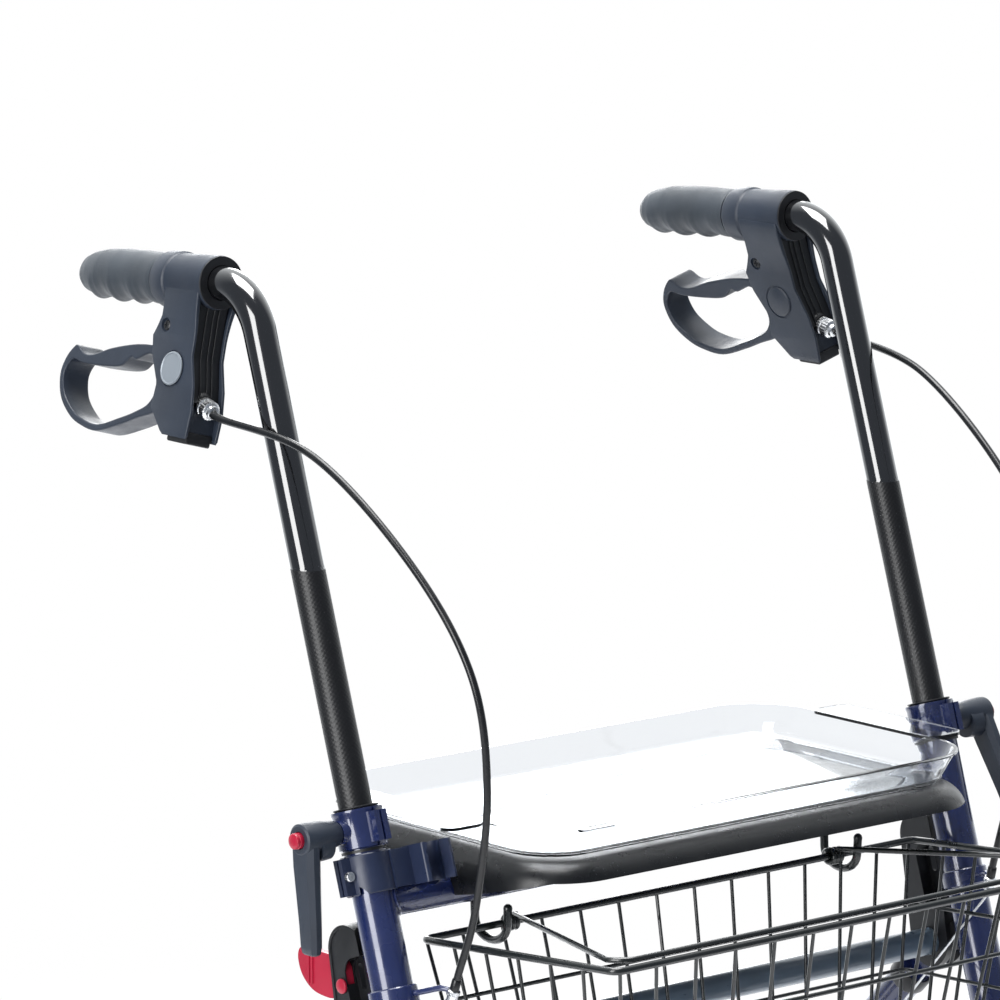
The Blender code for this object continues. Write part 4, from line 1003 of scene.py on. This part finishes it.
HOUSING_ORIGIN = toed(spot(HALF_TRACK, 0, HOUSING_Z))


def housing_point(back, down, out=0.0):
    """Point in the brake housing's own frame."""
    return HOUSING_ORIGIN + TILT_BACK * back + TILT_DOWN * down + TILT_OUT * out


def grip_point(y):
    return toed(spot(HALF_TRACK, y, GRIP_Z - GRIP_DROP * y))


def housing_prism(outline, low, high):
    return prism(outline, HOUSING_ORIGIN, TILT_BACK, TILT_DOWN, TILT_OUT, low, high)


def handle_tube():
    """Tube from inside the leg, knurled where it slides, up to the bend and back into the grip."""
    corner_z = (GRIP_Z + GRIP_DROP * LEG_UP.y / LEG_UP.z * COLLAR_Z) / (1 + GRIP_DROP * LEG_UP.y / LEG_UP.z)
    corner = leg_point(corner_z)
    rear = Vector((0, 1, -GRIP_DROP)).normalized()
    half = math.acos(LEG_UP.dot(rear)) / 2
    middle = corner + (rear - LEG_UP).normalized() * BEND_R / math.cos(half)
    start = corner - LEG_UP * BEND_R * math.tan(half) - middle
    bend = [middle + Matrix.Rotation(-2 * half * k / 26, 4, OUTWARD) @ start for k in range(27)]
    low, high = leg_point(KNURL_LOW), leg_point(KNURL_HIGH)
    count = round((high - low).length / KNURL_STEP)
    knurl = [low.lerp(high, k / count) for k in range(count + 1)]
    path = [toed(p) for p in [leg_point(TUBE_FOOT_Z), *knurl, *bend, spot(HALF_TRACK, GRIP_END - 0.006,
                              GRIP_Z - GRIP_DROP * (GRIP_END - 0.006))]]
    pitch = 2 * math.pi * TUBE_R / KNURL_STARTS

    def relief(k, turn):
        if not 1 < k <= count:
            return 0.0
        along = k * KNURL_STEP / pitch
        around = KNURL_STARTS * turn / (2 * math.pi)
        ridge = abs(math.sin(math.pi * (around + along)) * math.sin(math.pi * (around - along)))
        return 0.00022 * ridge - 0.00010

    sides = 110
    outer = rings_along(path, TUBE_R, sides, relief)
    inner = rings_along([path[0], path[count + 1], *path[count + 2:]], TUBE_BORE, sides)
    return ringed(outer + inner[::-1], closed=True)


PLATE_FRONT = [(-0.006, 0.1395), (0.017, 0.1395), (0.045, 0.1370), (0.064, 0.1290), (0.080, 0.1255),
               (0.098, 0.1258)]
PLATE_REAR = [(-0.006, 0.1765), (0.012, 0.1758), (0.022, 0.1770), (0.036, 0.1838), (0.049, 0.1800),
              (0.066, 0.1692), (0.082, 0.1700), (0.098, 0.1530)]


def at_level(table, level):
    """Value read off a table of (level, value) rows, eased between them."""
    for (a, u), (b, v) in zip(table, table[1:]):
        if level <= b:
            share = (level - a) / (b - a)
            return u + (v - u) * share
    return table[-1][1]


def side_plate(side):
    """Side plate of the housing: flush with the sleeve above, flat and straight below."""
    rings = []
    levels = [-0.006 + 0.104 * k / 52 for k in range(53)]
    for k, level in enumerate(levels):
        front, rear = at_level(PLATE_FRONT, level), at_level(PLATE_REAR, level)
        ease = min(1.0, max(0.0, (0.034 - level) / 0.036))
        swell = 0.0040 * ease * ease * (3 - 2 * ease)
        low, high = PLATE_IN + swell * 0.6, PLATE_OUT + swell
        trim = 0.0006 if k in (0, len(levels) - 1) else 0.0
        points = rounded_rect(front + trim, rear - trim, low + trim, high - trim, 0.0009, 5)
        rings.append([housing_point(back, level, side * out) for back, out in points])
    return ringed(rings)


def brake_housing():
    """Brake lever housing: a sleeve on the tube over two side plates tied by webs."""
    sleeve_at = grip_point(SLEEVE_Y)
    sleeve = spindle([(-0.0200, 0.0166), (-0.0192, 0.0176), (-0.0180, 0.0178), (0.0190, 0.0178),
                      (0.0204, 0.0182), (0.0212, 0.0190), (0.0225, 0.0192), (0.0335, 0.0190),
                      (0.0362, 0.0176), (0.0372, 0.0160)], sleeve_at, GRIP_DIR, 72)
    upper_web = housing_prism([(0.1450, 0.004), (0.1740, 0.004), (0.1750, 0.029), (0.1450, 0.029)],
                              -PLATE_IN - 0.001, PLATE_IN + 0.001)
    lower_web = housing_prism([(0.1345, 0.066), (0.145, 0.066), (0.149, 0.0960), (0.130, 0.0960)],
                              -PLATE_IN - 0.001, PLATE_IN + 0.001)
    bore = cylinder(TUBE_R + 0.0003, -0.06, 0.06, sleeve_at, GRIP_DIR, 72)
    screw_pits = [spindle([(out - 0.0012, 0.0044), (out + 0.004, 0.0052)],
                          housing_point(*SCREW_SPOT), TILT_OUT * way, 32)
                  for way, out in ((1, PLATE_OUT), (-1, PLATE_OUT))]
    badge_pits = [spindle([(PLATE_OUT - 0.0006, 0.0122), (PLATE_OUT + 0.004, 0.0128)],
                          housing_point(*LEVER_PIVOT), TILT_OUT * way, 56) for way in (1, -1)]
    return combine(sleeve, joined=(side_plate(1), side_plate(-1), upper_web, lower_web),
                   cut=(bore, *screw_pits, *badge_pits))


def housing_channel():
    """Dark recessed web between the plates, ribbed down its front, and the stop block below."""
    front = [(-0.001, 0.1422), (0.018, 0.1420), (0.045, 0.1392), (0.062, 0.1336), (0.080, 0.1292),
             (0.088, 0.1290)]
    face = [(at_level(front, 0.004 + 0.002 * k), 0.004 + 0.002 * k) for k in range(36)]
    web = housing_prism(face + [(back + 0.0026, down) for back, down in face[::-1]], -0.0110, 0.0110)
    ribs = [housing_prism([(back - 0.0009, down) for back, down in face]
                          + [(back + 0.0010, down) for back, down in face[::-1]], out - 0.0006, out + 0.0006)
            for out in (-0.0050, -0.0010, 0.0045)]
    collar_ring = hoop([(-0.0206, 0.0114), (-0.0206, 0.0174), (-0.0195, 0.0174), (-0.0195, 0.0114)],
                       grip_point(SLEEVE_Y), GRIP_DIR, 64)
    stop = housing_prism(rounded_rect(0.1290, 0.1500, 0.0930, 0.1012, 0.0016, 5), -0.0098, 0.0098)
    return gathered([web, *ribs, collar_ring, stop])


def housing_screws():
    """Recessed cross-head screw on each side plate."""
    screws = []
    for way in (1, -1):
        at = housing_point(*SCREW_SPOT)
        axis = TILT_OUT * way
        head = spindle([(PLATE_OUT - 0.0016, 0.0034), (PLATE_OUT - 0.0006, 0.0034),
                        (PLATE_OUT - 0.0001, 0.0028)], at, axis, 32)
        slots = [block(at + axis * PLATE_OUT, size, (axis, TILT_BACK, TILT_DOWN))
                 for size in ((0.0016, 0.0040, 0.0008), (0.0016, 0.0008, 0.0040))]
        screws.append(combine(head, cut=slots))
    return gathered(screws)


def lever_pivot_pin():
    """Lever's pivot pin with its flat inner cap."""
    head = PLATE_OUT - 0.0004
    return spindle([(-head - 0.0013, 0.0098), (-head - 0.0008, 0.0106), (-head, 0.0110),
                    (-head + 0.0001, 0.0030), (head - 0.0003, 0.0030), (head - 0.0002, 0.0100)],
                   housing_point(*LEVER_PIVOT), TILT_OUT, 48)


def badge():
    """Plain round silver cap over the lever's pivot."""
    head = PLATE_OUT - 0.0004
    return spindle([(head, 0.0106), (head + 0.0010, 0.0112), (head + 0.0016, 0.0110),
                    (head + 0.0019, 0.0102), (head + 0.0015, 0.0096), (head + 0.0017, 0.0050),
                    (head + 0.0018, 0.0010)], housing_point(*LEVER_PIVOT), TILT_OUT, 64)


ADJUSTER_DIR = -TILT_BACK * math.cos(math.radians(15)) + TILT_DOWN * math.sin(math.radians(15))
ADJUSTER_SEAT = housing_point(0.132, 0.0745)
ADJUSTER_LENGTH = 0.0140


def adjuster():
    """Barrel adjuster: threaded stem, knurled lock nut, knurled barrel and a smooth nose."""
    profile = [(-0.0090, 0.0028), (0.0000, 0.0028), (0.0002, 0.0056), (0.0010, 0.0062), (0.0032, 0.0062),
               (0.0038, 0.0054), (0.0044, 0.0054), (0.0050, 0.0064), (0.0100, 0.0064), (0.0108, 0.0056),
               (0.0112, 0.0046), (0.0134, 0.0044), (ADJUSTER_LENGTH, 0.0034)]

    def relief(k, turn):
        return 0.00022 * math.cos(20 * turn) if k in (3, 4, 7, 8) else 0.0

    return spindle(profile, ADJUSTER_SEAT, ADJUSTER_DIR, 80, relief)


def adjuster_boss():
    """Round boss of the housing that the adjuster screws into."""
    return hoop([(-0.0060, 0.0034), (-0.0060, 0.0082), (-0.0020, 0.0080), (-0.0004, 0.0068),
                 (-0.0004, 0.0034)], ADJUSTER_SEAT, ADJUSTER_DIR, 48)


GRIP_TOP = [(0.0, 0.0166), (0.03, 0.0172), (0.25, 0.0182), (0.50, 0.0187), (0.70, 0.0180), (0.84, 0.0160),
            (0.92, 0.0138), (0.97, 0.0108), (0.995, 0.0060), (1.0, 0.0020)]
GRIP_UNDER = [(0.0, 0.0166), (0.03, 0.0168), (0.12, 0.0160), (0.35, 0.0156), (0.60, 0.0152), (0.80, 0.0142),
              (0.91, 0.0122), (0.97, 0.0094), (0.995, 0.0052), (1.0, 0.0018)]


GROOVES, GROOVE = 3.9, 0.0015


def grip():
    """Soft grip: crowned palm, slimmer underside with slanting finger grooves, rounded end."""
    start, length = grip_point(GRIP_START), GRIP_END - GRIP_START
    rise = (UP - GRIP_DIR * UP.dot(GRIP_DIR)).normalized()
    across = GRIP_DIR.cross(rise)
    sides, levels = 96, 110
    turns = [2 * math.pi * i / sides for i in range(sides)]
    rings = []
    bore = TUBE_R + 0.0002
    for along in (length - 0.0055, 0.0):
        rings.append([start + GRIP_DIR * along + bore * around(turn, rise, across) for turn in turns])
    for k in range(levels + 1):
        share = math.sin(math.pi / 2 * k / levels) ** 1.2
        top, under = at_level(GRIP_TOP, share), at_level(GRIP_UNDER, share)
        ring = []
        for turn in turns:
            high = (1 + math.cos(turn)) / 2
            r = under + (top - under) * high
            low = max(0.0, -math.cos(turn) + 0.25) / 1.25
            fade = max(0.0, min(1.0, (share - 0.06) / 0.10)) * max(0.0, min(1.0, (0.93 - share) / 0.12))
            wave = math.sin(2 * math.pi * (GROOVES * share + 0.16 * math.sin(turn)) + 0.6)
            r += GROOVE * low * fade * (wave ** 3 if wave > 0 else wave)
            ring.append(start + GRIP_DIR * length * share + r * around(turn, rise, across))
        rings.append(ring)
    return ringed(rings)


LEVER_OUTER = [(0.1470, 0.0490), (0.1550, 0.0450), (0.1700, 0.0430), (0.1860, 0.0425), (0.2060, 0.0445),
               (0.2300, 0.0500), (0.2470, 0.0560), (0.2580, 0.0570), (0.2670, 0.0525), (0.2715, 0.0540),
               (0.2780, 0.0625), (0.2805, 0.0740), (0.2750, 0.0880), (0.2630, 0.0980), (0.2490, 0.1035),
               (0.2280, 0.1055), (0.2030, 0.0980), (0.1860, 0.0915), (0.1680, 0.0850), (0.1580, 0.0760),
               (0.1500, 0.0635), (0.1455, 0.0560)]
LEVER_INNER = [(0.1840, 0.0490), (0.2000, 0.0540), (0.2060, 0.0530), (0.2150, 0.0600), (0.2320, 0.0625),
               (0.2580, 0.0635), (0.2690, 0.0620), (0.2745, 0.0670), (0.2760, 0.0745), (0.2710, 0.0855),
               (0.2600, 0.0940), (0.2480, 0.0990), (0.2280, 0.1010), (0.2050, 0.0935), (0.1900, 0.0875),
               (0.1770, 0.0800), (0.1730, 0.0680)]


def brake_lever():
    """Loop lever: a broad band that leaves the housing, turns round and comes back."""
    loop = housing_prism(smooth_loop(LEVER_OUTER), -LEVER_HALF, LEVER_HALF)
    window = housing_prism(smooth_loop(LEVER_INNER), -0.03, 0.03)
    pin = cylinder(0.0032, -0.03, 0.03, housing_point(*LEVER_PIVOT), TILT_OUT, 32)
    return combine(loop, cut=(window, pin))


# ---------------------------------------------------------------- cables

CABLE_R = 0.0025
CABLE_TOP = ADJUSTER_SEAT + ADJUSTER_DIR * (ADJUSTER_LENGTH - 0.0010)
CABLE_FOOT = STOP_CUP + CABLE_DOWN * 0.0040
CABLE_ROUTE = [CABLE_TOP, CABLE_TOP + ADJUSTER_DIR * 0.010, spot(0.2681, 0.0246, 0.8671),
               spot(0.2610, -0.0624, 0.8100), spot(0.2550, -0.1153, 0.7453),
               spot(0.2440, -0.1177, 0.6701), spot(0.2365, -0.0975, 0.5900),
               STOP_CUP - CABLE_DOWN * 0.0083, CABLE_FOOT]
BRAKE_TAIL = BRAKE_PIVOT - REAR_SIDE * 0.030 - OUTWARD * 0.0187
WIRE_TOP = STOP_CUP + CABLE_DOWN * 0.0125


def make_cables():
    """Sheathed cable between handle and cable stop, and the bare wire on to the rear brake."""
    knee = WIRE_TOP + CABLE_DOWN * 0.006
    end = BRAKE_TAIL + (WIRE_TOP - BRAKE_TAIL).normalized() * 0.0062
    wire_route = smooth_line([WIRE_TOP, knee], 4) + [knee.lerp(end, k / 40) for k in range(1, 41)]
    for side, word in SIDE_NAMES.items():
        sheath = piece(f"{word}_cable_sheath", rod(smooth_line(CABLE_ROUTE, 26), CABLE_R, 20),
                       "cable_sheath", None, [f"{word}_brake_cable"], side)
        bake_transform(sheath)
        ferrule = spindle([(-0.0080, 0.0027), (-0.0074, 0.0031), (0.0, 0.0032), (0.0008, 0.0030)],
                          CABLE_FOOT, CABLE_DOWN, 32)
        piece(f"{word}_cable_ferrule", ferrule, "cable_sheath", "front_frame", (), side)
        wire = piece(f"{word}_bare_wire", rod(wire_route, 0.0008, 12), "steel", None,
                     [f"{word}_brake_wire"], side)
        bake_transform(wire)


# ---------------------------------------------------------------- wheels and rear frame

WHEEL_R, WHEEL_HALF, AXLE_R = 0.100, 0.0175, 0.0040
TREAD_BLOCKS = 44


def tyre(centre):
    """Solid tyre: shouldered section, two rings of grooves and slanting sipes."""
    w, r = WHEEL_HALF, WHEEL_R
    profile = [(-w + 0.0035, 0.0780), (-w + 0.0006, 0.0810), (-w, 0.0850), (-w + 0.0006, 0.0900),
               (-w + 0.0024, 0.0945), (-w + 0.0052, 0.0978), (-w + 0.0090, r - 0.0003)]
    profile += [(-0.0052, r), (-0.0046, r - 0.0018), (-0.0034, r - 0.0018), (-0.0028, r)]
    profile += [(-h, rad) for h, rad in reversed(profile)]

    def relief(k, turn):
        if not 4 <= k < len(profile) - 4:
            return 0.0
        height = profile[k][0]
        phase = (TREAD_BLOCKS * turn / (2 * math.pi) + abs(height) * 30.0) % 1.0
        return -0.0012 if phase < 0.22 and abs(height) > 0.0050 else 0.0

    return hoop(profile, centre, OUTWARD, TREAD_BLOCKS * 8, relief)


def wheel_rim(centre):
    """Moulded rim: hub, five broad spokes and outer band."""
    profile = [(-0.0165, AXLE_R + 0.0003), (-0.0165, 0.0115), (-0.0155, 0.0130), (-0.0060, 0.0160),
               (-0.0045, 0.0200), (-0.0045, 0.0660), (-0.0118, 0.0684), (-0.0125, 0.0696),
               (-0.0125, 0.0773)]
    profile += [(-h, rad) for h, rad in reversed(profile)]
    windows = []
    for k in range(5):
        turn = 72 * k + 18
        outline = (arc((0, 0), 0.0620, turn - 25.5, turn + 25.5, 14)
                   + arc((0, 0), 0.0260, turn + 13.3, turn - 13.3, 6))
        windows.append(prism(outline, centre, BACK, UP, OUTWARD, -0.02, 0.02))
    return combine(hoop(profile, centre, OUTWARD, 80), cut=windows)


def spoke_ribs(centre):
    """Raised rib down the middle of each spoke, on both faces."""
    ribs = []
    for k in range(5):
        turn = math.radians(72 * k + 54)
        along = around(turn, BACK, UP)
        side = OUTWARD.cross(along)
        for way in (-1, 1):
            section = [[centre + along * r + side * s * half + OUTWARD * way * h for s, h in
                        ((-1, 0.0040), (1, 0.0040), (0.6, lift), (-0.6, lift))]
                       for r, half, lift in ((0.0140, 0.0034, 0.0110), (0.0300, 0.0026, 0.0078),
                                             (0.0560, 0.0026, 0.0072), (0.0690, 0.0036, 0.0100))]
            ribs.append(ringed(section))
    return gathered(ribs)


def hub_cap(centre):
    """Thin dust seal where the axle leaves the hub."""
    rings = []
    for way in (-1, 1):
        rings.append(hoop([(0.0140, AXLE_R + 0.0003), (0.0160, AXLE_R + 0.0003), (0.0164, 0.0075),
                           (0.0166, 0.0105), (0.0160, 0.0110), (0.0140, 0.0110)], centre, OUTWARD * way, 48))
    return gathered(rings)


FORK_TOP_Z, FORK_ARM = 0.2215, 0.005


def caster_fork():
    """Caster fork: stem, rounded crown and two raked arms."""
    stem = cylinder(0.0080, 0.2150, 0.2850, STEM, UP, 40)
    crown_at = spot(HALF_TRACK, -0.166, 0.2155)
    crown = prism(rounded_rect(-0.0265, 0.0265, -0.0220, 0.0220, 0.0080), crown_at, OUTWARD, BACK, UP,
                  -0.0065, 0.0065)
    front = -0.188 + COLLAR_Y
    back = front + 0.044
    outline = ([(front, FORK_TOP_Z), (front, 0.2050)] + arc(FRONT_AXLE.yz, 0.0130, 200, 380, 28)
               + [(back, 0.2050), (back, FORK_TOP_Z)])
    arms = [prism(outline, Vector((HALF_TRACK, 0, 0)), BACK, UP, OUTWARD, low, low + FORK_ARM)
            for low in (-0.0265, 0.0265 - FORK_ARM)]
    hole = cylinder(AXLE_R + 0.0003, -0.04, 0.04, FRONT_AXLE, OUTWARD, 32)
    return combine(crown, joined=(stem, *arms), cut=(hole,))


def bolt(profile, centre, hex_out):
    """Axle with turned heads and a hexagon socket in its outer head."""
    socket = cylinder(0.0026, hex_out - 0.0022, hex_out + 0.01, centre, OUTWARD, 6)
    return combine(spindle(profile, centre, OUTWARD, 40), cut=(socket,))


def front_axle():
    return bolt([(-0.0308, 0.0052), (-0.0302, 0.0066), (-0.0290, 0.0075), (-0.0268, 0.0075),
                 (-0.0267, AXLE_R), (0.0267, AXLE_R), (0.0268, 0.0075), (0.0290, 0.0075),
                 (0.0302, 0.0066), (0.0308, 0.0052)], FRONT_AXLE, 0.0308)


def rear_axle():
    out = REAR_HUB.x - HALF_TRACK
    leg, hub = 0.0125 + 2 * FIT, 0.0165 + FIT
    return bolt([(-leg - 0.005, 0.0050), (-leg - 0.0040, 0.0064), (-leg, 0.0070),
                 (-leg + 0.0001, AXLE_R), (leg, AXLE_R), (leg + 0.0001, 0.0075),
                 (out - hub - 0.0001, 0.0075), (out - hub, AXLE_R), (out + hub, AXLE_R),
                 (out + hub + 0.0001, 0.0090), (out + hub + 0.0024, 0.0088), (out + hub + 0.0036, 0.0076),
                 (out + hub + 0.004, 0.0060)], REAR_AXLE, out + hub + 0.004)


BRAKE_RISE = 0.135


def rear_leg():
    """Rear leg: a tube with a flat tongue that turns on the pivot tube."""
    tube = spindle([(0.034, 0.0115), (0.0352, 0.0125), (REAR_LENGTH + 0.0138, 0.0125),
                    (REAR_LENGTH + 0.015, 0.0112)],
                   PIVOT, REAR_DOWN, 64)
    tongue = prism([(0.046, -0.0100), (0.046, 0.0100), *arc((0, 0), EYE_R, 60, 300, 28)], PIVOT,
                   REAR_DOWN, REAR_SIDE, OUTWARD, -TONGUE_HALF, TONGUE_HALF)
    holes = [cylinder(r, -0.03, 0.03, centre, OUTWARD, 40)
             for centre, r in ((PIVOT, PIVOT_R + 0.0002), (REAR_AXLE, AXLE_R + 0.0002),
                               (PIVOT + REAR_DOWN * (REAR_LENGTH - BRAKE_RISE), AXLE_R + 0.0002))]
    return combine(tube, joined=(tongue,), cut=holes)


def rear_tube_sleeve():
    """Plastic sleeve round the rear leg where its tongue leaves the tube."""
    return hoop([(0.0340, 0.0126), (0.0340, 0.0133), (0.0355, 0.0140), (0.0460, 0.0140), (0.0475, 0.0133),
                 (0.0475, 0.0126)], PIVOT, REAR_DOWN, 56)


def pivot_tube():
    """Tube between the fold joint cases, on which the rear legs turn."""
    end = HALF_TRACK + CASE_HALF
    return pipe([Vector((side * end, PIVOT.y, PIVOT.z)) for side in (-1, 1)], PIVOT_R,
                PIVOT_R - TUBE_WALL)


def brake_arm():
    """Rear brake: shaft through the leg, inner tail for the wire, outer arm and shoe."""
    shaft = cylinder(AXLE_R, -0.0205, 0.0220, BRAKE_PIVOT, OUTWARD, 32)
    tail_outline = arc((0, 0), 0.0075, 0, 180, 20) + arc((0, -0.030), 0.0055, 180, 360, 20)
    tail = prism(tail_outline, BRAKE_PIVOT, REAR_DOWN, REAR_SIDE, OUTWARD, -0.0205, -0.0165)
    to_pivot = -REAR_DOWN
    turns = [Matrix.Rotation(math.radians(way * 25), 4, OUTWARD) @ to_pivot for way in (1, -1)]
    radial = max(turns, key=lambda turned_way: turned_way.z)
    tangent = OUTWARD.cross(radial)
    shoe_outline = [(WHEEL_R * math.sin(math.radians(a)) * 1.03, WHEEL_R * math.cos(math.radians(a)) * 1.03)
                    for a in (-9, -6, -3, 0, 3, 6, 9)]
    shoe_outline += [(s * 0.8, WHEEL_R + 0.0095) for s in (0.016, -0.016)]
    shoe = prism(shoe_outline, REAR_AXLE, tangent, radial, OUTWARD, 0.0190, 0.0500)
    ridge = REAR_AXLE + radial * (WHEEL_R + 0.0065)
    reach = (ridge - BRAKE_PIVOT).normalized()
    rise = OUTWARD.cross(reach)
    span = (ridge - BRAKE_PIVOT).length
    bar = prism([(-0.0080, -0.0060), (span, -0.0030), (span, 0.0030), (-0.0080, 0.0060)],
                BRAKE_PIVOT, reach, rise, OUTWARD, 0.0160, 0.0225)
    return combine(shaft, joined=(tail, bar, shoe))


# ---------------------------------------------------------------- assembly

def make_front_frame():
    body = "front_frame"
    pair("leg", front_leg, "navy_paint", body, ["{side}_front_leg"])
    piece("cross_tube", seat_cross_tube(), "navy_paint", body, ["seat_cross_tube"])
    pair("cross_tube_weld", weld_ring, "navy_paint", body)
    pair("clamp_collar", collar, "navy_paint", body, ["{side}_collar"], bevel=0.0008)
    # The liner piece also carries the dark band of painted shade below the collar.
    pair("collar_liner_with_painted_shade", liner_and_painted_gap_shade, "dark_plastic", body)
    for side, word in SIDE_NAMES.items():
        piece(f"{word}_ratchet_lever", clamp_lever(CLAMP_SWING[word]), "black_plastic",
              f"{word}_clamp", [f"{word}_clamp_lever"], side, 0.0006)
        piece(f"{word}_fold_case", lock_case(word == "right"), "dark_plastic", body,
              [f"{word}_lock_housing"], side, 0.0009)
    pair("release_button", clamp_button, "red_plastic", "{side}_button", ["{side}_clamp_button"])
    piece("right_red_catch", fold_catch(), "red_plastic", "right_catch", ["right_fold_catch"], -1,
          0.0010)
    pair("fork_head", caster_head, "dark_plastic", body, ["{side}_caster_head"], 0.0010)
    pair("cable_bracket", cable_stop, "navy_paint", body, ["{side}_cable_stop"])
    pair("cable_cup", cable_cup, "steel", body)
    piece("right_rod_clip", clip_bracket(), "navy_plastic", body, ["right_clip_bracket"], -1, 0.0008)
    piece("right_rod_clip_screw", clip_screw(), "steel", body, (), -1)
    piece("moulded_seat", seat(), "seat_plastic", body, ["seat"], 1, 0.0005)
    piece("clear_tray", tray(), "clear_plastic", "tray", ["tray"])
    pair("hook", basket_hook, "wire_black", body, ["{side}_basket_hook"])
    piece("wire_basket", basket(), "wire_black", "basket", ["basket"])
    piece("wire_bail", basket_bail(), "wire_black", "basket_bail", ["basket_handle"])


def make_handles():
    body = "{side}_handle"
    pair("tube", handle_tube, "black_tube", body, ["{side}_handle_tube"])
    pair("lever_housing", brake_housing, "black_plastic", body, ["{side}_brake_housing"], 0.0008)
    pair("housing_channel", housing_channel, "dark_plastic", body, (), 0.0003)
    pair("housing_screws", housing_screws, "dark_plastic", body)
    pair("lever_pivot", lever_pivot_pin, "black_plastic", body, ["{side}_lever_pin"])
    pair("badge", badge, "badge_silver", body)
    pair("barrel_adjuster", adjuster, "steel", body, ["{side}_adjuster"])
    pair("adjuster_boss", adjuster_boss, "dark_plastic", body)
    pair("rubber_grip", grip, "grip_rubber", body, ["{side}_grip"])
    pair("loop_lever", brake_lever, "black_plastic", "{side}_lever", ["{side}_brake_lever"], 0.0013)
    make_cables()


def make_wheels_and_rear():
    for end, centre in (("front", FRONT_AXLE), ("rear", REAR_HUB)):
        body = f"{{side}}_{end}_wheel"
        pair(f"{end}_tread", lambda: tyre(centre), "tyre", body, [f"{{side}}_{end}_tyre"])
        pair(f"{end}_wheel", lambda: wheel_rim(centre), "wheel_plastic", body,
             [f"{{side}}_{end}_rim"], 0.0010)
        pair(f"{end}_spoke_ribs", lambda: spoke_ribs(centre), "wheel_plastic", body, (), 0.0006)
        pair(f"{end}_hub_seal", lambda: hub_cap(centre), "dark_plastic", body)
    pair("fork", caster_fork, "dark_plastic", "{side}_caster", ["{side}_caster_fork"], 0.0012)
    pair("front_bolt", front_axle, "steel", "{side}_caster", ["{side}_front_axle"])
    body = "rear_frame"
    pair("rear_tube", rear_leg, "navy_paint", body, ["{side}_rear_leg"], 0.0006)
    pair("rear_tube_sleeve", rear_tube_sleeve, "dark_plastic", body)
    # The pivot tube wears the lighter navy copy, a painted highlight over its navy paint.
    piece("lateral_tube", pivot_tube(), "navy_tube_painted_highlight", body, ["pivot_tube"])
    pair("rear_bolt", rear_axle, "steel", body, ["{side}_rear_axle"])
    pair("rear_brake_shoe", brake_arm, "dark_plastic", "{side}_rear_brake", ["{side}_brake_arm"], 0.0008)


make_stage()
make_front_frame()
make_handles()
make_wheels_and_rear()
